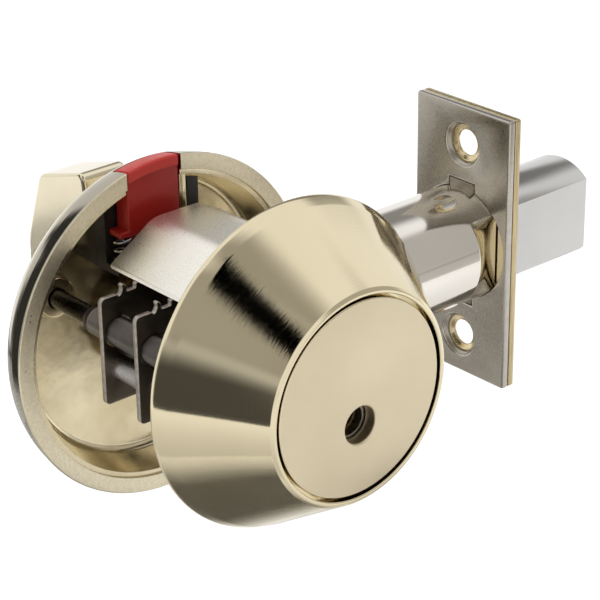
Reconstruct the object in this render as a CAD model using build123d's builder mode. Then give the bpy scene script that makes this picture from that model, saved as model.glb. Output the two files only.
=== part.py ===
from build123d import *
import os
from math import atan2, cos, dist, pi, sin, sqrt, tan

# A deadbolt door lock: a key cylinder in a conical collar outside, a thumbturn on a cast
# rose inside, and a thrown bolt in a tube behind a two-layer faceplate.
# X is the way the bolt is thrown, +Y points into the room and Z is up. The origin is where
# the bolt's axis crosses the collar's axis, halfway through the door.

# The door and its cross bore
door_thickness = 35.0
cross_bore = 54.0

# Clearances
run_fit = 0.06
slide_fit = 0.3
gap = 0.3
seat = 0.04

# Key axis, which the turn and the rose share, below the collar's centre
key_drop = 5.2

# Collar and face of the key cylinder
collar_radius = 31.3
collar_depth = 19.0
collar_band = 1.2
collar_wall = 2.6
collar_edge = 0.6
lip_radius = 20.2
lip_width = 1.1
lip_edge = 0.3
web_thickness = 2.8
washer_thickness = 0.6
disc_thickness = 2.5
disc_recess = 0.2
disc_edge = 0.35
keyhole_radius = 3.5

# Cylinder housing
spigot_radius = 17.0
shoulder_step = 2.4
flange_proud = 1.0
flange_depth = 3.0
flange_clearance = 0.6
boss_radius = 11.5
boss_height = 3.5

# Barrel and its detainer discs
barrel_radius = 7.9
barrel_wall = 1.9
front_disc_thickness = 2.0
detainer_count = 8
detainer_thickness = 1.3
detainer_spacing = 0.35
keyway_radius = 2.9
keyway_cut = 0.35
sidebar_width = 2.0
sidebar_height = 1.7
clip_thickness = 0.8
clip_width = 2.2
clip_depth = 0.9
barrel_overhang = 2.2

# Bolt, its tube and the faceplate
backset = 63.7
throw = 25.4
bolt_proud = 1.0
bolt_flat = 7.2
bolt_length = 33.4
bolt_chamfer = 1.0
roller_radius = 3.0
roller_length = 20.0
tube_margin = 1.0
tube_wall = 1.0
tube_rear = 21.0
flat_length = 5.3
flat_wall = 0.9
dimple_length = 6.0
dimple_width = 2.6
dimple_depth = 0.6
dimple_inset = 7.1
plate_width = 25.4
plate_height = 57.15
plate_thickness = 1.6
plate_edge = 0.35
plate_screw_spacing = 41.3
plate_screw_radius = 2.6
countersink_radius = 4.6
dimple_wall = 0.9
tab_width = 6.8
tab_reach = 1.3

# Case that carries the crank
case_half_space = 4.5
case_plate = 1.1
case_top = 12.4
case_bottom = 8.5
case_end = 24.4
case_insert = 9.0
case_corner = 1.2
bearing_wall = 1.5
hook_width = 1.2
hook_lip = 0.6
hook_clear = 2.6
hook_relief = 0.5
ledge_width = 2.6
ledge_clear = 0.5
spacer_radius = 2.2
spacer_pin_radius = 1.2
rear_spacer = (-20.8, -1.9)
front_spacer = (15.5, -5.5)

# Crank and bolt tail
hub_radius = 6.2
journal_radius = 4.9
journal_proud = 0.4
arm_thickness = 2.2
arm_ring = 2.0
arm_tip_radius = 3.3
crank_pin_radius = 1.75
tail_thickness = 3.2
tail_bottom = 1.5
tail_top = 8.7
prong_width = 1.8
prong_top = 12.4
fork_play = 0.65
tail_insert = 8.0
tail_rivet_radius = 1.2
tail_rivet_spacing = 3.8
tailpiece_width = 6.8
tailpiece_thickness = 2.2

# Guard hood over the crank
hood_eave_x = 16.1
hood_eave_z = 13.4
hood_bend_x = 5.6
hood_top_z = 20.1
hood_sheet = 0.9
hood_bend_radius = 6.0
hood_inner_y = 13.5

# Mounting posts and screws
post_places = ((-20.8, 5.2), (17.0, -14.5))
post_radius = 2.75
post_spigot = 2.2
post_bore = 1.9
post_end = 12.0
screw_radius = 1.8
screw_tip = -2.0
screw_head_radius = 3.6
screw_head_height = 2.3
screw_slot = 1.0

# Rose
rim_inner = 30.9
rim_outer = 34.2
rim_step = 0.5
bevel_radius = 33.7
bevel_depth = 2.8
rose_radius = 33.1
rose_wall_depth = 5.3
rose_face_radius = 28.7
rose_depth = 10.5
rose_floor = 3.0
cup_floor_radius = 28.0
screw_boss_radius = 4.0
screw_boss_height = 1.6
bush_wall = 1.7

# Thumbturn and spindle
spindle_radius = 6.0
spindle_inner = 15.5
stop_radius = 11.0
stop_thickness = 2.6
stop_front = 18.6
shoulder_radius = 8.4
thrust_thickness = 0.6
neck_radius = 11.0
neck_length = 7.5
grip_width = 10.4
grip_rise = 7.6
grip_depth = 14.8
grip_crown = 5.1
grip_half_crown = 8.3
grip_half_inner = 27.2
grip_half_outer = 22.7
grip_bend = 12.0
grip_corner = 2.4
grip_heel = 1.6
grip_edge = 0.8
grip_hollow = 1.3
grub_radius = 2.0
grub_length = 4.6

# Blocking button in the rose's rim, its guide and its spring; drops are from the rim's edge
button_depth = 4.2
button_left = -7.7
button_right = 4.2
head_drop = 0.1
button_drop = 13.1
button_inset = 0.5
button_travel = 2.2
notch_clear = 1.1
foot_left = -9.6
foot_drop = 10.5
foot_height = 1.2
spring_side = -5.8
nose_width = 4.0
nose_gap = 0.5
rib_width = 1.6
rib_inset = 0.7
rib_drop = 0.9
rail_width = 2.6
rail_inset = 0.9
guide_drop = 17.7
guide_bar_height = 4.3
guide_back_drop = 5.7
spring_x = -8.0
spring_drop = 16.1
spring_coil_radius = 1.6
spring_wire = 0.5
spring_turns = 3

# Heights and depths that follow from the sizes above
key_z = -key_drop
rim_edge_z = key_z + rim_inner
body_radius = spigot_radius + shoulder_step
door_out = -door_thickness / 2
door_in = door_thickness / 2
collar_front = door_out - collar_depth
disc_front = collar_front + disc_recess
disc_back = disc_front + disc_thickness
disc_radius = lip_radius - lip_width - gap
web_front = disc_back + gap
web_back = web_front + web_thickness
shoulder_y = web_back + slide_fit + washer_thickness
flange_front = door_out - flange_proud
flange_back = door_out + flange_depth
flange_radius = cross_bore / 2 - flange_clearance
boss_back = flange_back + boss_height
barrel_front = disc_back + slide_fit
barrel_back = boss_back + barrel_overhang
stack_radius = barrel_radius - barrel_wall - run_fit
detainer_pitch = detainer_thickness + detainer_spacing
stack_back = barrel_front + front_disc_thickness + detainer_count * detainer_pitch
clip_front = boss_back + gap
face_x = backset
back_x = face_x - 2 * plate_thickness
bolt_front = face_x + bolt_proud + throw
bolt_rear = bolt_front - bolt_length
case_outer = case_half_space + case_plate
tube_radius = plate_width / 2 - tube_margin
tube_bore = tube_radius - tube_wall
bolt_radius = tube_bore - slide_fit
insert_half = sqrt((tube_bore - seat) ** 2 - case_outer**2)
case_front = tube_rear + case_insert
crank_reach = throw / 2
crank_pin_z = key_z + crank_reach
slot_half = crank_pin_radius + fork_play
arm_back = tail_thickness / 2 + gap
rose_face = door_in + rose_depth
cup_floor = rose_face - rose_floor
bush_radius = spindle_radius + run_fit + bush_wall
stop_back = stop_front + stop_thickness
grip_inner = rose_face + grip_rise
grip_outer = grip_inner + grip_depth
nose_bottom = key_z + stop_radius + nose_gap
button_back = door_in + button_depth
button_head_bottom = rim_edge_z - head_drop
button_bottom = rim_edge_z - button_drop
foot_bottom = rim_edge_z - foot_drop
foot_top = foot_bottom + foot_height
spring_base = rim_edge_z - spring_drop
rail_bottom = rim_edge_z - guide_drop

key_axis = Axis((0, 0, key_z), (0, 1, 0))
key_plane = Plane(origin=(0, 0, key_z), x_dir=(1, 0, 0), z_dir=(0, 0, 1))


def across(y):
    """Plane square to the lock's axis at depth y; its normal points out of the door."""
    return Plane.XZ.offset(-y)


def turned(points, plane=Plane.XY, axis=Axis.Y, mode=Mode.ADD):
    """Revolve a closed outline of (radius, depth) points about the lock's axis or the key's."""
    with BuildSketch(plane) as outline:
        with BuildLine():
            Polyline(*points, close=True)
        make_face()
    revolve(outline.sketch, axis=axis, mode=mode)


def ring(inner, outer, front, back, plane=Plane.XY, axis=Axis.Y, mode=Mode.ADD):
    """Plain turned ring between two depths."""
    turned([(inner, front), (outer, front), (outer, back), (inner, back)], plane, axis, mode)


def rod(radius, front, back, places, mode=Mode.ADD):
    """Round bars along Y between two depths, one at each (x, z) place."""
    with BuildSketch(across(back)) as ends:
        with Locations(*places):
            Circle(radius)
    extrude(ends.sketch, amount=back - front, mode=mode)


def bar(width, height, front, back, mode=Mode.ADD):
    """Rectangular bar along the key axis between two depths."""
    with BuildSketch(across(back)) as end:
        with Locations((0, key_z)):
            Rectangle(width, height)
    extrude(end.sketch, amount=back - front, mode=mode)


# Collar: a conical ring that turns freely round the housing, so that it can't be gripped
cone_start = door_out - collar_band
lip_bore = lip_radius - lip_width
collar_slope = (collar_radius - lip_radius) / (cone_start - collar_front - lip_edge)
web_inner = lip_radius + collar_slope * (web_back - collar_front - lip_edge) - collar_wall
with BuildPart() as cylinder_collar:
    turned(
        [
            (collar_radius - collar_edge, door_out),
            (collar_radius, door_out - collar_edge),
            (collar_radius, cone_start),
            (lip_radius, collar_front + lip_edge),
            (lip_radius - lip_edge, collar_front),
            (lip_bore, collar_front),
            (lip_bore, web_front),
            (spigot_radius + run_fit, web_front),
            (spigot_radius + run_fit, web_back),
            (web_inner, web_back),
            (collar_radius - collar_wall, cone_start),
            (collar_radius - collar_wall, door_out),
        ]
    )
cylinder_collar.part.label = "cylinder_collar"

# Face disc: the hardened plate in front of the housing, with the keyhole through it
with BuildPart() as face_disc:
    with BuildSketch(across(disc_back)):
        Circle(disc_radius)
        with Locations((0, key_z)):
            Circle(keyhole_radius, mode=Mode.SUBTRACT)
    extrude(amount=disc_thickness)
    chamfer(face_disc.faces().sort_by(Axis.Y)[0].edges(), disc_edge)
face_disc.part.label = "face_disc"

# Thrust washer between the collar's web and the housing's shoulder
with BuildPart() as collar_washer:
    ring(
        spigot_radius + gap,
        body_radius - gap,
        shoulder_y - washer_thickness,
        shoulder_y,
    )
collar_washer.part.label = "collar_washer"

# Housing: spigot for the collar, body, flange in the cross bore and a boss round the barrel
with BuildPart() as cylinder_housing:
    turned(
        [
            (0, disc_back),
            (spigot_radius, disc_back),
            (spigot_radius, shoulder_y),
            (body_radius, shoulder_y),
            (body_radius, flange_front),
            (flange_radius, flange_front),
            (flange_radius, flange_back),
            (0, flange_back),
        ]
    )
    rod(boss_radius, flange_back, boss_back, [(0, key_z)])
    rod(barrel_radius + run_fit, disc_back, boss_back, [(0, key_z)], Mode.SUBTRACT)
    rod(post_spigot + seat, flange_front, flange_back, post_places, Mode.SUBTRACT)
    with BuildSketch(across(stack_back)):
        with Locations((0, key_z + barrel_radius)):
            Rectangle(sidebar_width, 2 * sidebar_height)
    extrude(amount=stack_back - barrel_front - front_disc_thickness, mode=Mode.SUBTRACT)
cylinder_housing.part.label = "cylinder_housing"

# Barrel: the turning tube that holds the discs, slotted for the sidebar and the tailpiece
with BuildPart() as disc_barrel:
    ring(0, barrel_radius, barrel_front, barrel_back, key_plane, key_axis)
    ring(0, stack_radius + run_fit, barrel_front, stack_back, key_plane, key_axis, Mode.SUBTRACT)
    ring(
        barrel_radius - clip_depth,
        barrel_radius + gap,
        clip_front,
        clip_front + clip_thickness,
        key_plane,
        key_axis,
        Mode.SUBTRACT,
    )
    with BuildSketch(across(stack_back - slide_fit)):
        with Locations((0, key_z + barrel_radius)):
            Rectangle(sidebar_width + 2 * seat, 2 * barrel_wall + 2 * gap)
    extrude(
        amount=stack_back - barrel_front - front_disc_thickness - 2 * slide_fit,
        mode=Mode.SUBTRACT,
    )
    bar(
        tailpiece_width + 2 * gap,
        tailpiece_thickness + 2 * gap,
        stack_back,
        barrel_back,
        Mode.SUBTRACT,
    )
disc_barrel.part.label = "disc_barrel"


def keyed_discs(thickness, backs):
    """Round discs in the barrel with a keyway that is a circle cut flat on one side."""
    for back in backs:
        with BuildSketch(across(back)) as disc:
            with Locations((0, key_z)):
                Circle(stack_radius)
                Circle(keyway_radius, mode=Mode.SUBTRACT)
            with Locations((-keyway_radius * (1 - keyway_cut / 2), key_z)):
                Rectangle(keyway_radius * keyway_cut, keyway_radius * sqrt(2))
        extrude(disc.sketch, amount=thickness)


stack_start = barrel_front + front_disc_thickness
detainer_backs = [stack_start + (n + 1) * detainer_pitch - seat for n in range(detainer_count)]
with BuildPart() as keyway_disc:
    keyed_discs(front_disc_thickness - 2 * seat, [stack_start - seat])
keyway_disc.part.label = "keyway_disc"

with BuildPart() as detainer_discs:
    keyed_discs(detainer_thickness - seat, detainer_backs)
detainer_discs.part.label = "detainer_discs"

# Spacer washers that keep neighbouring detainer discs from dragging each other round
with BuildPart() as disc_spacers:
    for back in detainer_backs:
        spacer_back = back - detainer_thickness
        ring(
            keyway_radius + gap,
            stack_radius,
            spacer_back - detainer_spacing + seat,
            spacer_back,
            key_plane,
            key_axis,
        )
disc_spacers.part.label = "disc_spacers"

# Sidebar: the bar along the barrel that locks it to the housing, dropped in as with a key
sidebar_top = sqrt(barrel_radius**2 - (sidebar_width / 2) ** 2)
with BuildPart() as sidebar:
    with BuildSketch(across(stack_back - 2 * slide_fit)):
        with Locations((0, key_z + sidebar_top - sidebar_height / 2)):
            Rectangle(sidebar_width, sidebar_height - seat)
    extrude(amount=stack_back - stack_start - 4 * slide_fit)
sidebar.part.label = "sidebar"

# Spring clip in the barrel's groove, open at the bottom, that keeps it in the housing
with BuildPart() as barrel_clip:
    with BuildSketch(across(clip_front + clip_thickness - seat)):
        with Locations((0, key_z)):
            Circle(barrel_radius - clip_depth + clip_width)
            Circle(barrel_radius - clip_depth + seat, mode=Mode.SUBTRACT)
        with Locations((0, key_z - barrel_radius)):
            Rectangle(barrel_radius, 2 * clip_width + clip_depth, mode=Mode.SUBTRACT)
    extrude(amount=clip_thickness - 2 * seat)
barrel_clip.part.label = "barrel_clip"

# Tailpiece: the flat bar from the barrel through the crank to the spindle
tailpiece_front = stack_back + gap
tailpiece_back = rose_face - gap
with BuildPart() as tailpiece:
    bar(tailpiece_width, tailpiece_thickness, tailpiece_front, tailpiece_back)
tailpiece.part.label = "tailpiece"

# Mounting posts: threaded studs staked into the housing's flange
with BuildPart() as mounting_posts:
    rod(post_radius, flange_back, post_end, post_places)
    rod(post_spigot, flange_front, flange_back, post_places)
    rod(post_bore, screw_tip - gap, post_end, post_places, Mode.SUBTRACT)
mounting_posts.part.label = "mounting_posts"


def bolt_outline(clearance):
    """Round bar with two flat sides, as the bolt and the hole that it passes."""
    Circle(bolt_radius + clearance)
    flat_size = 2 * (bolt_flat + clearance)
    Rectangle(flat_size, 3 * bolt_radius, mode=Mode.INTERSECT)


# Bolt: flat-sided bar with a chamfered nose, slotted behind for its tail and drilled inside
tail_middle = (tail_bottom + tail_top) / 2
tail_front = bolt_rear + tail_insert
rivet_x = bolt_rear + tail_insert / 2
rivet_places = [(rivet_x + s * tail_rivet_spacing / 2, tail_middle) for s in (-1, 1)]
roller_rear = tail_front + gap
with BuildPart() as bolt:
    with BuildSketch(Plane.YZ.offset(bolt_rear)):
        bolt_outline(0)
    extrude(amount=bolt_length)
    chamfer(bolt.faces().sort_by(Axis.X)[-1].edges(), bolt_chamfer)
    with BuildSketch(Plane.YZ.offset(bolt_rear)):
        with Locations((0, tail_middle)):
            Rectangle(tail_thickness + 2 * seat, tail_top - tail_bottom + 2 * seat)
    extrude(amount=tail_insert + gap, mode=Mode.SUBTRACT)
    with BuildSketch(Plane.YZ.offset(roller_rear)):
        with Locations((0, tail_middle)):
            Circle(roller_radius + run_fit)
    extrude(amount=roller_length + gap, mode=Mode.SUBTRACT)
    rod(tail_rivet_radius + seat, -bolt_flat, bolt_flat, rivet_places, Mode.SUBTRACT)
bolt.part.label = "bolt"

# Hardened roller that spins under a saw blade, loose in the bolt's bore
with BuildPart() as bolt_roller:
    with BuildSketch(Plane.YZ.offset(roller_rear)):
        with Locations((0, tail_middle)):
            Circle(roller_radius)
    extrude(amount=roller_length)
bolt_roller.part.label = "bolt_roller"

# Tail: the bar behind the bolt, with a fork that the crank pin swings in
fork_left = crank_reach - slot_half - prong_width
fork_right = crank_reach + slot_half + prong_width
slot_bottom = crank_pin_z - crank_pin_radius - fork_play
with BuildPart() as bolt_tail:
    with BuildSketch(across(tail_thickness / 2)):
        with BuildLine():
            Polyline(
                (fork_left, tail_bottom),
                (tail_front, tail_bottom),
                (tail_front, tail_top),
                (fork_right + prong_width, tail_top),
                (fork_right, tail_top + prong_width),
                (fork_right, prong_top),
                (fork_left, prong_top),
                close=True,
            )
        make_face()
        with Locations((crank_reach, prong_top)):
            Rectangle(2 * slot_half, 2 * (prong_top - slot_bottom), mode=Mode.SUBTRACT)
        with Locations(*rivet_places):
            Circle(tail_rivet_radius + seat, mode=Mode.SUBTRACT)
    extrude(amount=tail_thickness)
bolt_tail.part.label = "bolt_tail"

with BuildPart() as tail_rivets:
    rod(tail_rivet_radius, -bolt_flat, bolt_flat, rivet_places)
tail_rivets.part.label = "tail_rivets"

# Tube: rolled steel sleeve round the bolt, pressed flat beside the plate to key the bolt,
# with two tabs bent out into the back plate and a dimple on top
flat_rear = back_x - flat_length
flat_inner = bolt_flat + slide_fit
flat_outer = flat_inner + flat_wall
tube_front = back_x + plate_thickness
with BuildPart() as bolt_tube:
    with BuildSketch(Plane.YZ.offset(tube_rear)):
        Circle(tube_radius)
    extrude(amount=tube_front - tube_rear)
    with BuildSketch(Plane.YZ.offset(flat_rear)):
        with Locations((flat_outer + tube_radius, 0), (-flat_outer - tube_radius, 0)):
            Rectangle(2 * tube_radius, 2 * tube_radius)
    extrude(amount=tube_front - flat_rear, mode=Mode.SUBTRACT)
    with BuildSketch(Plane.YZ.offset(tube_rear)):
        Circle(tube_bore)
    extrude(amount=flat_rear - flat_wall - tube_rear, mode=Mode.SUBTRACT)
    with BuildSketch(Plane.YZ.offset(flat_rear - flat_wall)):
        Circle(tube_bore)
        Rectangle(2 * flat_inner, 2 * tube_radius, mode=Mode.INTERSECT)
    extrude(amount=tube_front - flat_rear + flat_wall, mode=Mode.SUBTRACT)
    with BuildSketch(Plane.YZ.offset(back_x + seat)):
        for side in (-1, 1):
            with Locations((0, side * (tube_radius + (tab_reach - tube_wall) / 2))):
                Rectangle(tab_width, tab_reach + tube_wall)
    extrude(amount=plate_thickness - 2 * seat)
    with BuildSketch(Plane.YZ.offset(back_x)):
        Circle(tube_bore)
        Rectangle(2 * flat_inner, 2 * tube_radius, mode=Mode.INTERSECT)
    extrude(amount=plate_thickness, mode=Mode.SUBTRACT)
    with BuildSketch(Plane.XY.offset(tube_radius + gap)):
        with Locations((back_x - dimple_inset, 0)):
            SlotOverall(dimple_length, dimple_width)
    extrude(amount=-(dimple_depth + gap), mode=Mode.SUBTRACT)
bolt_tube.part.label = "bolt_tube"

# Back plate: stamped nickel-plated steel, holed for the tube with a notch for each tab
screw_heights = [(0, s * plate_screw_spacing / 2) for s in (-1, 1)]
with BuildPart() as face_backplate:
    with BuildSketch(Plane.YZ.offset(back_x)):
        Rectangle(plate_width, plate_height)
        Circle(tube_radius + seat, mode=Mode.SUBTRACT)
        for side in (-1, 1):
            with Locations((0, side * tube_radius)):
                Rectangle(
                    tab_width + 2 * slide_fit,
                    2 * (tab_reach + slide_fit),
                    mode=Mode.SUBTRACT,
                )
        with Locations(*screw_heights):
            Circle(countersink_radius + seat, mode=Mode.SUBTRACT)
    extrude(amount=plate_thickness)
    chamfer(face_backplate.edges().filter_by(Axis.X).sort_by(SortBy.DISTANCE)[-4:], plate_edge)
face_backplate.part.label = "face_backplate"

# Faceplate: brass trim plate over the back plate, with its screw holes dimpled into it
front_plate_x = back_x + plate_thickness
sink_x = face_x - countersink_radius + plate_screw_radius
dimple_back = back_x + seat
with BuildPart() as faceplate:
    with BuildSketch(Plane.YZ.offset(front_plate_x)):
        Rectangle(plate_width, plate_height)
    extrude(amount=plate_thickness)
    with BuildSketch(Plane.YZ.offset(front_plate_x)):
        bolt_outline(slide_fit)
    extrude(amount=plate_thickness, mode=Mode.SUBTRACT)
    chamfer(faceplate.edges().filter_by(Axis.X).sort_by(SortBy.DISTANCE)[-4:], plate_edge)
    for _, height in screw_heights:
        screw_plane = Plane(origin=(0, 0, height), x_dir=(0, 0, 1), z_dir=(0, 1, 0))
        screw_axis = Axis((0, 0, height), (1, 0, 0))
        turned(
            [
                (0, front_plate_x),
                (countersink_radius, front_plate_x),
                (plate_screw_radius + dimple_wall, dimple_back),
                (0, dimple_back),
            ],
            screw_plane,
            screw_axis,
        )
        turned(
            [
                (0, face_x),
                (countersink_radius, face_x),
                (plate_screw_radius, sink_x),
                (plate_screw_radius, back_x),
                (0, back_x),
            ],
            screw_plane,
            screw_axis,
            Mode.SUBTRACT,
        )
faceplate.part.label = "faceplate"

# Case plates: two steel sides that carry the crank, necked into the tube and hooked on top
case_step = tube_rear - gap
hook_tip = hood_eave_z + hook_lip - hook_width / 2
hook_x = hood_eave_x + hook_clear + hook_width / 2
relief_x = -hook_x - hook_width / 2 - hook_relief
ledge_top = hood_eave_z - seat
ledge_x = hood_eave_x + ledge_clear - ledge_width / 2
spacer_places = [rear_spacer, front_spacer]


def case_side(outer):
    """One side of the case, from its room-side face at this depth."""
    with BuildSketch(across(outer)) as side_face:
        with Locations(((case_step - case_end) / 2, (case_top - case_bottom) / 2)):
            RectangleRounded(case_end + case_step, case_top + case_bottom, case_corner)
        with Locations(((case_front + case_corner) / 2, 0)):
            Rectangle(case_front - case_corner, 2 * insert_half)
        for side in (-1, 1):
            with Locations((side * hook_x, hook_tip / 2)):
                Rectangle(hook_width, hook_tip)
            with Locations((side * hook_x, hook_tip)):
                Circle(hook_width / 2)
            with Locations((side * ledge_x, ledge_top / 2)):
                Rectangle(ledge_width, ledge_top)
        with Locations((relief_x, case_top)):
            Circle(hook_relief, mode=Mode.SUBTRACT)
        with Locations((0, key_z)):
            Circle(journal_radius + bearing_wall)
            Circle(journal_radius + run_fit, mode=Mode.SUBTRACT)
        with Locations(post_places[0]):
            Circle(post_radius + gap, mode=Mode.SUBTRACT)
        with Locations(*spacer_places):
            Circle(spacer_pin_radius + seat, mode=Mode.SUBTRACT)
    extrude(side_face.sketch, amount=case_plate)


with BuildPart() as case_plate_near:
    case_side(-case_half_space)
case_plate_near.part.label = "case_plate_near"

with BuildPart() as case_plate_far:
    case_side(case_outer)
case_plate_far.part.label = "case_plate_far"

# Spacers riveted between the two case plates
with BuildPart() as case_spacers:
    rod(spacer_radius, -case_half_space, case_half_space, spacer_places)
    rod(spacer_pin_radius, -case_outer, case_outer, spacer_places)
case_spacers.part.label = "case_spacers"

# Crank hub: journalled in both case plates and driven by the tailpiece
journal_end = case_outer + journal_proud
hub_end = case_half_space - gap
with BuildPart() as crank_hub:
    rod(hub_radius, -hub_end, hub_end, [(0, key_z)])
    rod(journal_radius, -journal_end, journal_end, [(0, key_z)])
    bar(
        tailpiece_width + 2 * seat,
        tailpiece_thickness + 2 * seat,
        -journal_end,
        journal_end,
        Mode.SUBTRACT,
    )
crank_hub.part.label = "crank_hub"

# Crank arm: a ring on the hub that tapers to the pin, leaning forward while the bolt is out
arm_front = arm_back + arm_thickness
arm_ring_radius = hub_radius + arm_ring
arm_length = crank_reach * sqrt(2)
arm_plane = Plane(
    origin=(0, arm_front, key_z),
    x_dir=(cos(pi / 4), 0, sin(pi / 4)),
    z_dir=(0, -1, 0),
)
with BuildPart() as crank_arm:
    with BuildSketch(arm_plane):
        Circle(arm_ring_radius)
        with Locations((arm_length, 0)):
            Circle(arm_tip_radius)
        make_hull()
        Circle(hub_radius + seat, mode=Mode.SUBTRACT)
        with Locations((arm_length, 0)):
            Circle(crank_pin_radius + seat, mode=Mode.SUBTRACT)
    extrude(amount=arm_thickness)
crank_arm.part.label = "crank_arm"

# Crank pin that pushes the fork of the bolt's tail
pin_back = -tail_thickness / 2 - 2 * gap
with BuildPart() as crank_pin:
    rod(crank_pin_radius, pin_back, arm_front, [(crank_reach, crank_pin_z)])
crank_pin.part.label = "crank_pin"

# Hood: bent sheet over the crank, its eaves held by the hooks of the case plates
hood_slope = atan2(hood_top_z - hood_eave_z, hood_eave_x - hood_bend_x)
hood_shift = hood_sheet / sin(hood_slope)
hood_inner_bend = hood_bend_x + hood_sheet / tan(hood_slope) - hood_shift
hood_outer_y = flange_back + gap


def hood_outline(eave_x, bend_x, top_z, radius):
    """Five-sided roof outline with its two bends rounded."""
    with BuildLine() as roof:
        FilletPolyline(
            (-eave_x, hood_eave_z),
            (-bend_x, top_z),
            (bend_x, top_z),
            (eave_x, hood_eave_z),
            radius=radius,
        )
        Line((eave_x, hood_eave_z), (-eave_x, hood_eave_z))
    make_face(roof.edges())


with BuildPart() as guard_hood:
    with BuildSketch(across(hood_inner_y)):
        hood_outline(hood_eave_x, hood_bend_x, hood_top_z, hood_bend_radius)
    extrude(amount=hood_inner_y - hood_outer_y)
    with BuildSketch(across(hood_inner_y)):
        hood_outline(
            hood_eave_x - hood_shift,
            hood_inner_bend,
            hood_top_z - hood_sheet,
            hood_bend_radius - hood_sheet,
        )
    extrude(amount=hood_inner_y - hood_outer_y, mode=Mode.SUBTRACT)
guard_hood.part.label = "guard_hood"


def rose_shape(inner_points):
    """Turned outside of the rose, closed on the inside by these points."""
    turned(
        inner_points
        + [
            (rim_outer, door_in),
            (bevel_radius, door_in + bevel_depth),
            (rose_radius, door_in + rose_wall_depth),
            (rose_face_radius, rose_face),
        ],
        key_plane,
        key_axis,
    )


# Rose: cast cup on the inside of the door, with a notch and a rib for the button
notch_bottom = button_head_bottom - button_travel - notch_clear
notch_top = key_z + rim_outer + gap
button_centre = (button_left + button_right) / 2
button_width = button_right - button_left
rib_x = button_right + gap + rib_width / 2
rib_top = rim_edge_z - rib_drop
head_seat = rose_face - screw_head_height - gap
with BuildPart() as inner_rose:
    rose_shape(
        [
            (bush_radius + seat, rose_face),
            (bush_radius + seat, cup_floor),
            (cup_floor_radius, cup_floor),
            (rim_inner - 2 * rim_step, door_in + rim_step),
            (rim_inner, door_in + rim_step),
            (rim_inner, door_in),
        ]
    )
    rod(screw_boss_radius, cup_floor - screw_boss_height, head_seat, post_places)
    with BuildSketch(across(cup_floor + gap)):
        with Locations((rib_x, (button_bottom + rib_top) / 2)):
            Rectangle(rib_width, rib_top - button_bottom)
    extrude(amount=cup_floor + gap - door_in - rib_inset)
    rod(screw_radius + gap, door_in, rose_face, post_places, Mode.SUBTRACT)
    rod(screw_head_radius + gap, head_seat, rose_face, post_places, Mode.SUBTRACT)
    with BuildSketch(across(button_back + gap)):
        with Locations((button_centre, (notch_bottom + notch_top) / 2)):
            Rectangle(button_width + 2 * gap, notch_top - notch_bottom)
    extrude(amount=button_depth + 2 * gap, mode=Mode.SUBTRACT)
inner_rose.part.label = "inner_rose"

# Screws from the room side through the rose into the posts, slotted
screw_face = rose_face - gap
with BuildPart() as mounting_screws:
    rod(screw_radius, screw_tip, screw_face - screw_head_height, post_places)
    rod(screw_head_radius, screw_face - screw_head_height, screw_face, post_places)
    with BuildSketch(across(screw_face)):
        with Locations(*post_places):
            Rectangle(2 * screw_head_radius, screw_slot)
    extrude(amount=screw_slot, mode=Mode.SUBTRACT)
mounting_screws.part.label = "mounting_screws"

# Bush pressed in the rose for the spindle
with BuildPart() as spindle_bush:
    ring(spindle_radius + run_fit, bush_radius, cup_floor, rose_face, key_plane, key_axis)
spindle_bush.part.label = "spindle_bush"

# Thrust washer behind the spindle's shoulder
thrust_front = cup_floor - thrust_thickness
with BuildPart() as thrust_washer:
    ring(
        spindle_radius + gap,
        shoulder_radius,
        thrust_front,
        cup_floor,
        key_plane,
        key_axis,
    )
thrust_washer.part.label = "thrust_washer"

# Spindle: turned with a notched flange that the button can drop into, holed for the tailpiece
spindle_end = rose_face + neck_length - 2 * gap
notch_depth = button_travel - nose_gap + gap
with BuildPart() as turn_spindle:
    ring(0, spindle_radius, spindle_inner, spindle_end, key_plane, key_axis)
    ring(0, stop_radius, stop_front, stop_back, key_plane, key_axis)
    ring(0, shoulder_radius, stop_back, thrust_front - run_fit, key_plane, key_axis)
    with BuildSketch(across(stop_back)):
        with Locations((0, key_z)):
            with PolarLocations(stop_radius, 4):
                Rectangle(2 * notch_depth, nose_width + 2 * gap)
    extrude(amount=stop_thickness, mode=Mode.SUBTRACT)
    bar(
        tailpiece_width + 2 * seat,
        tailpiece_thickness + 2 * seat,
        spindle_inner,
        tailpiece_back + gap,
        Mode.SUBTRACT,
    )
turn_spindle.part.label = "turn_spindle"

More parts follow.
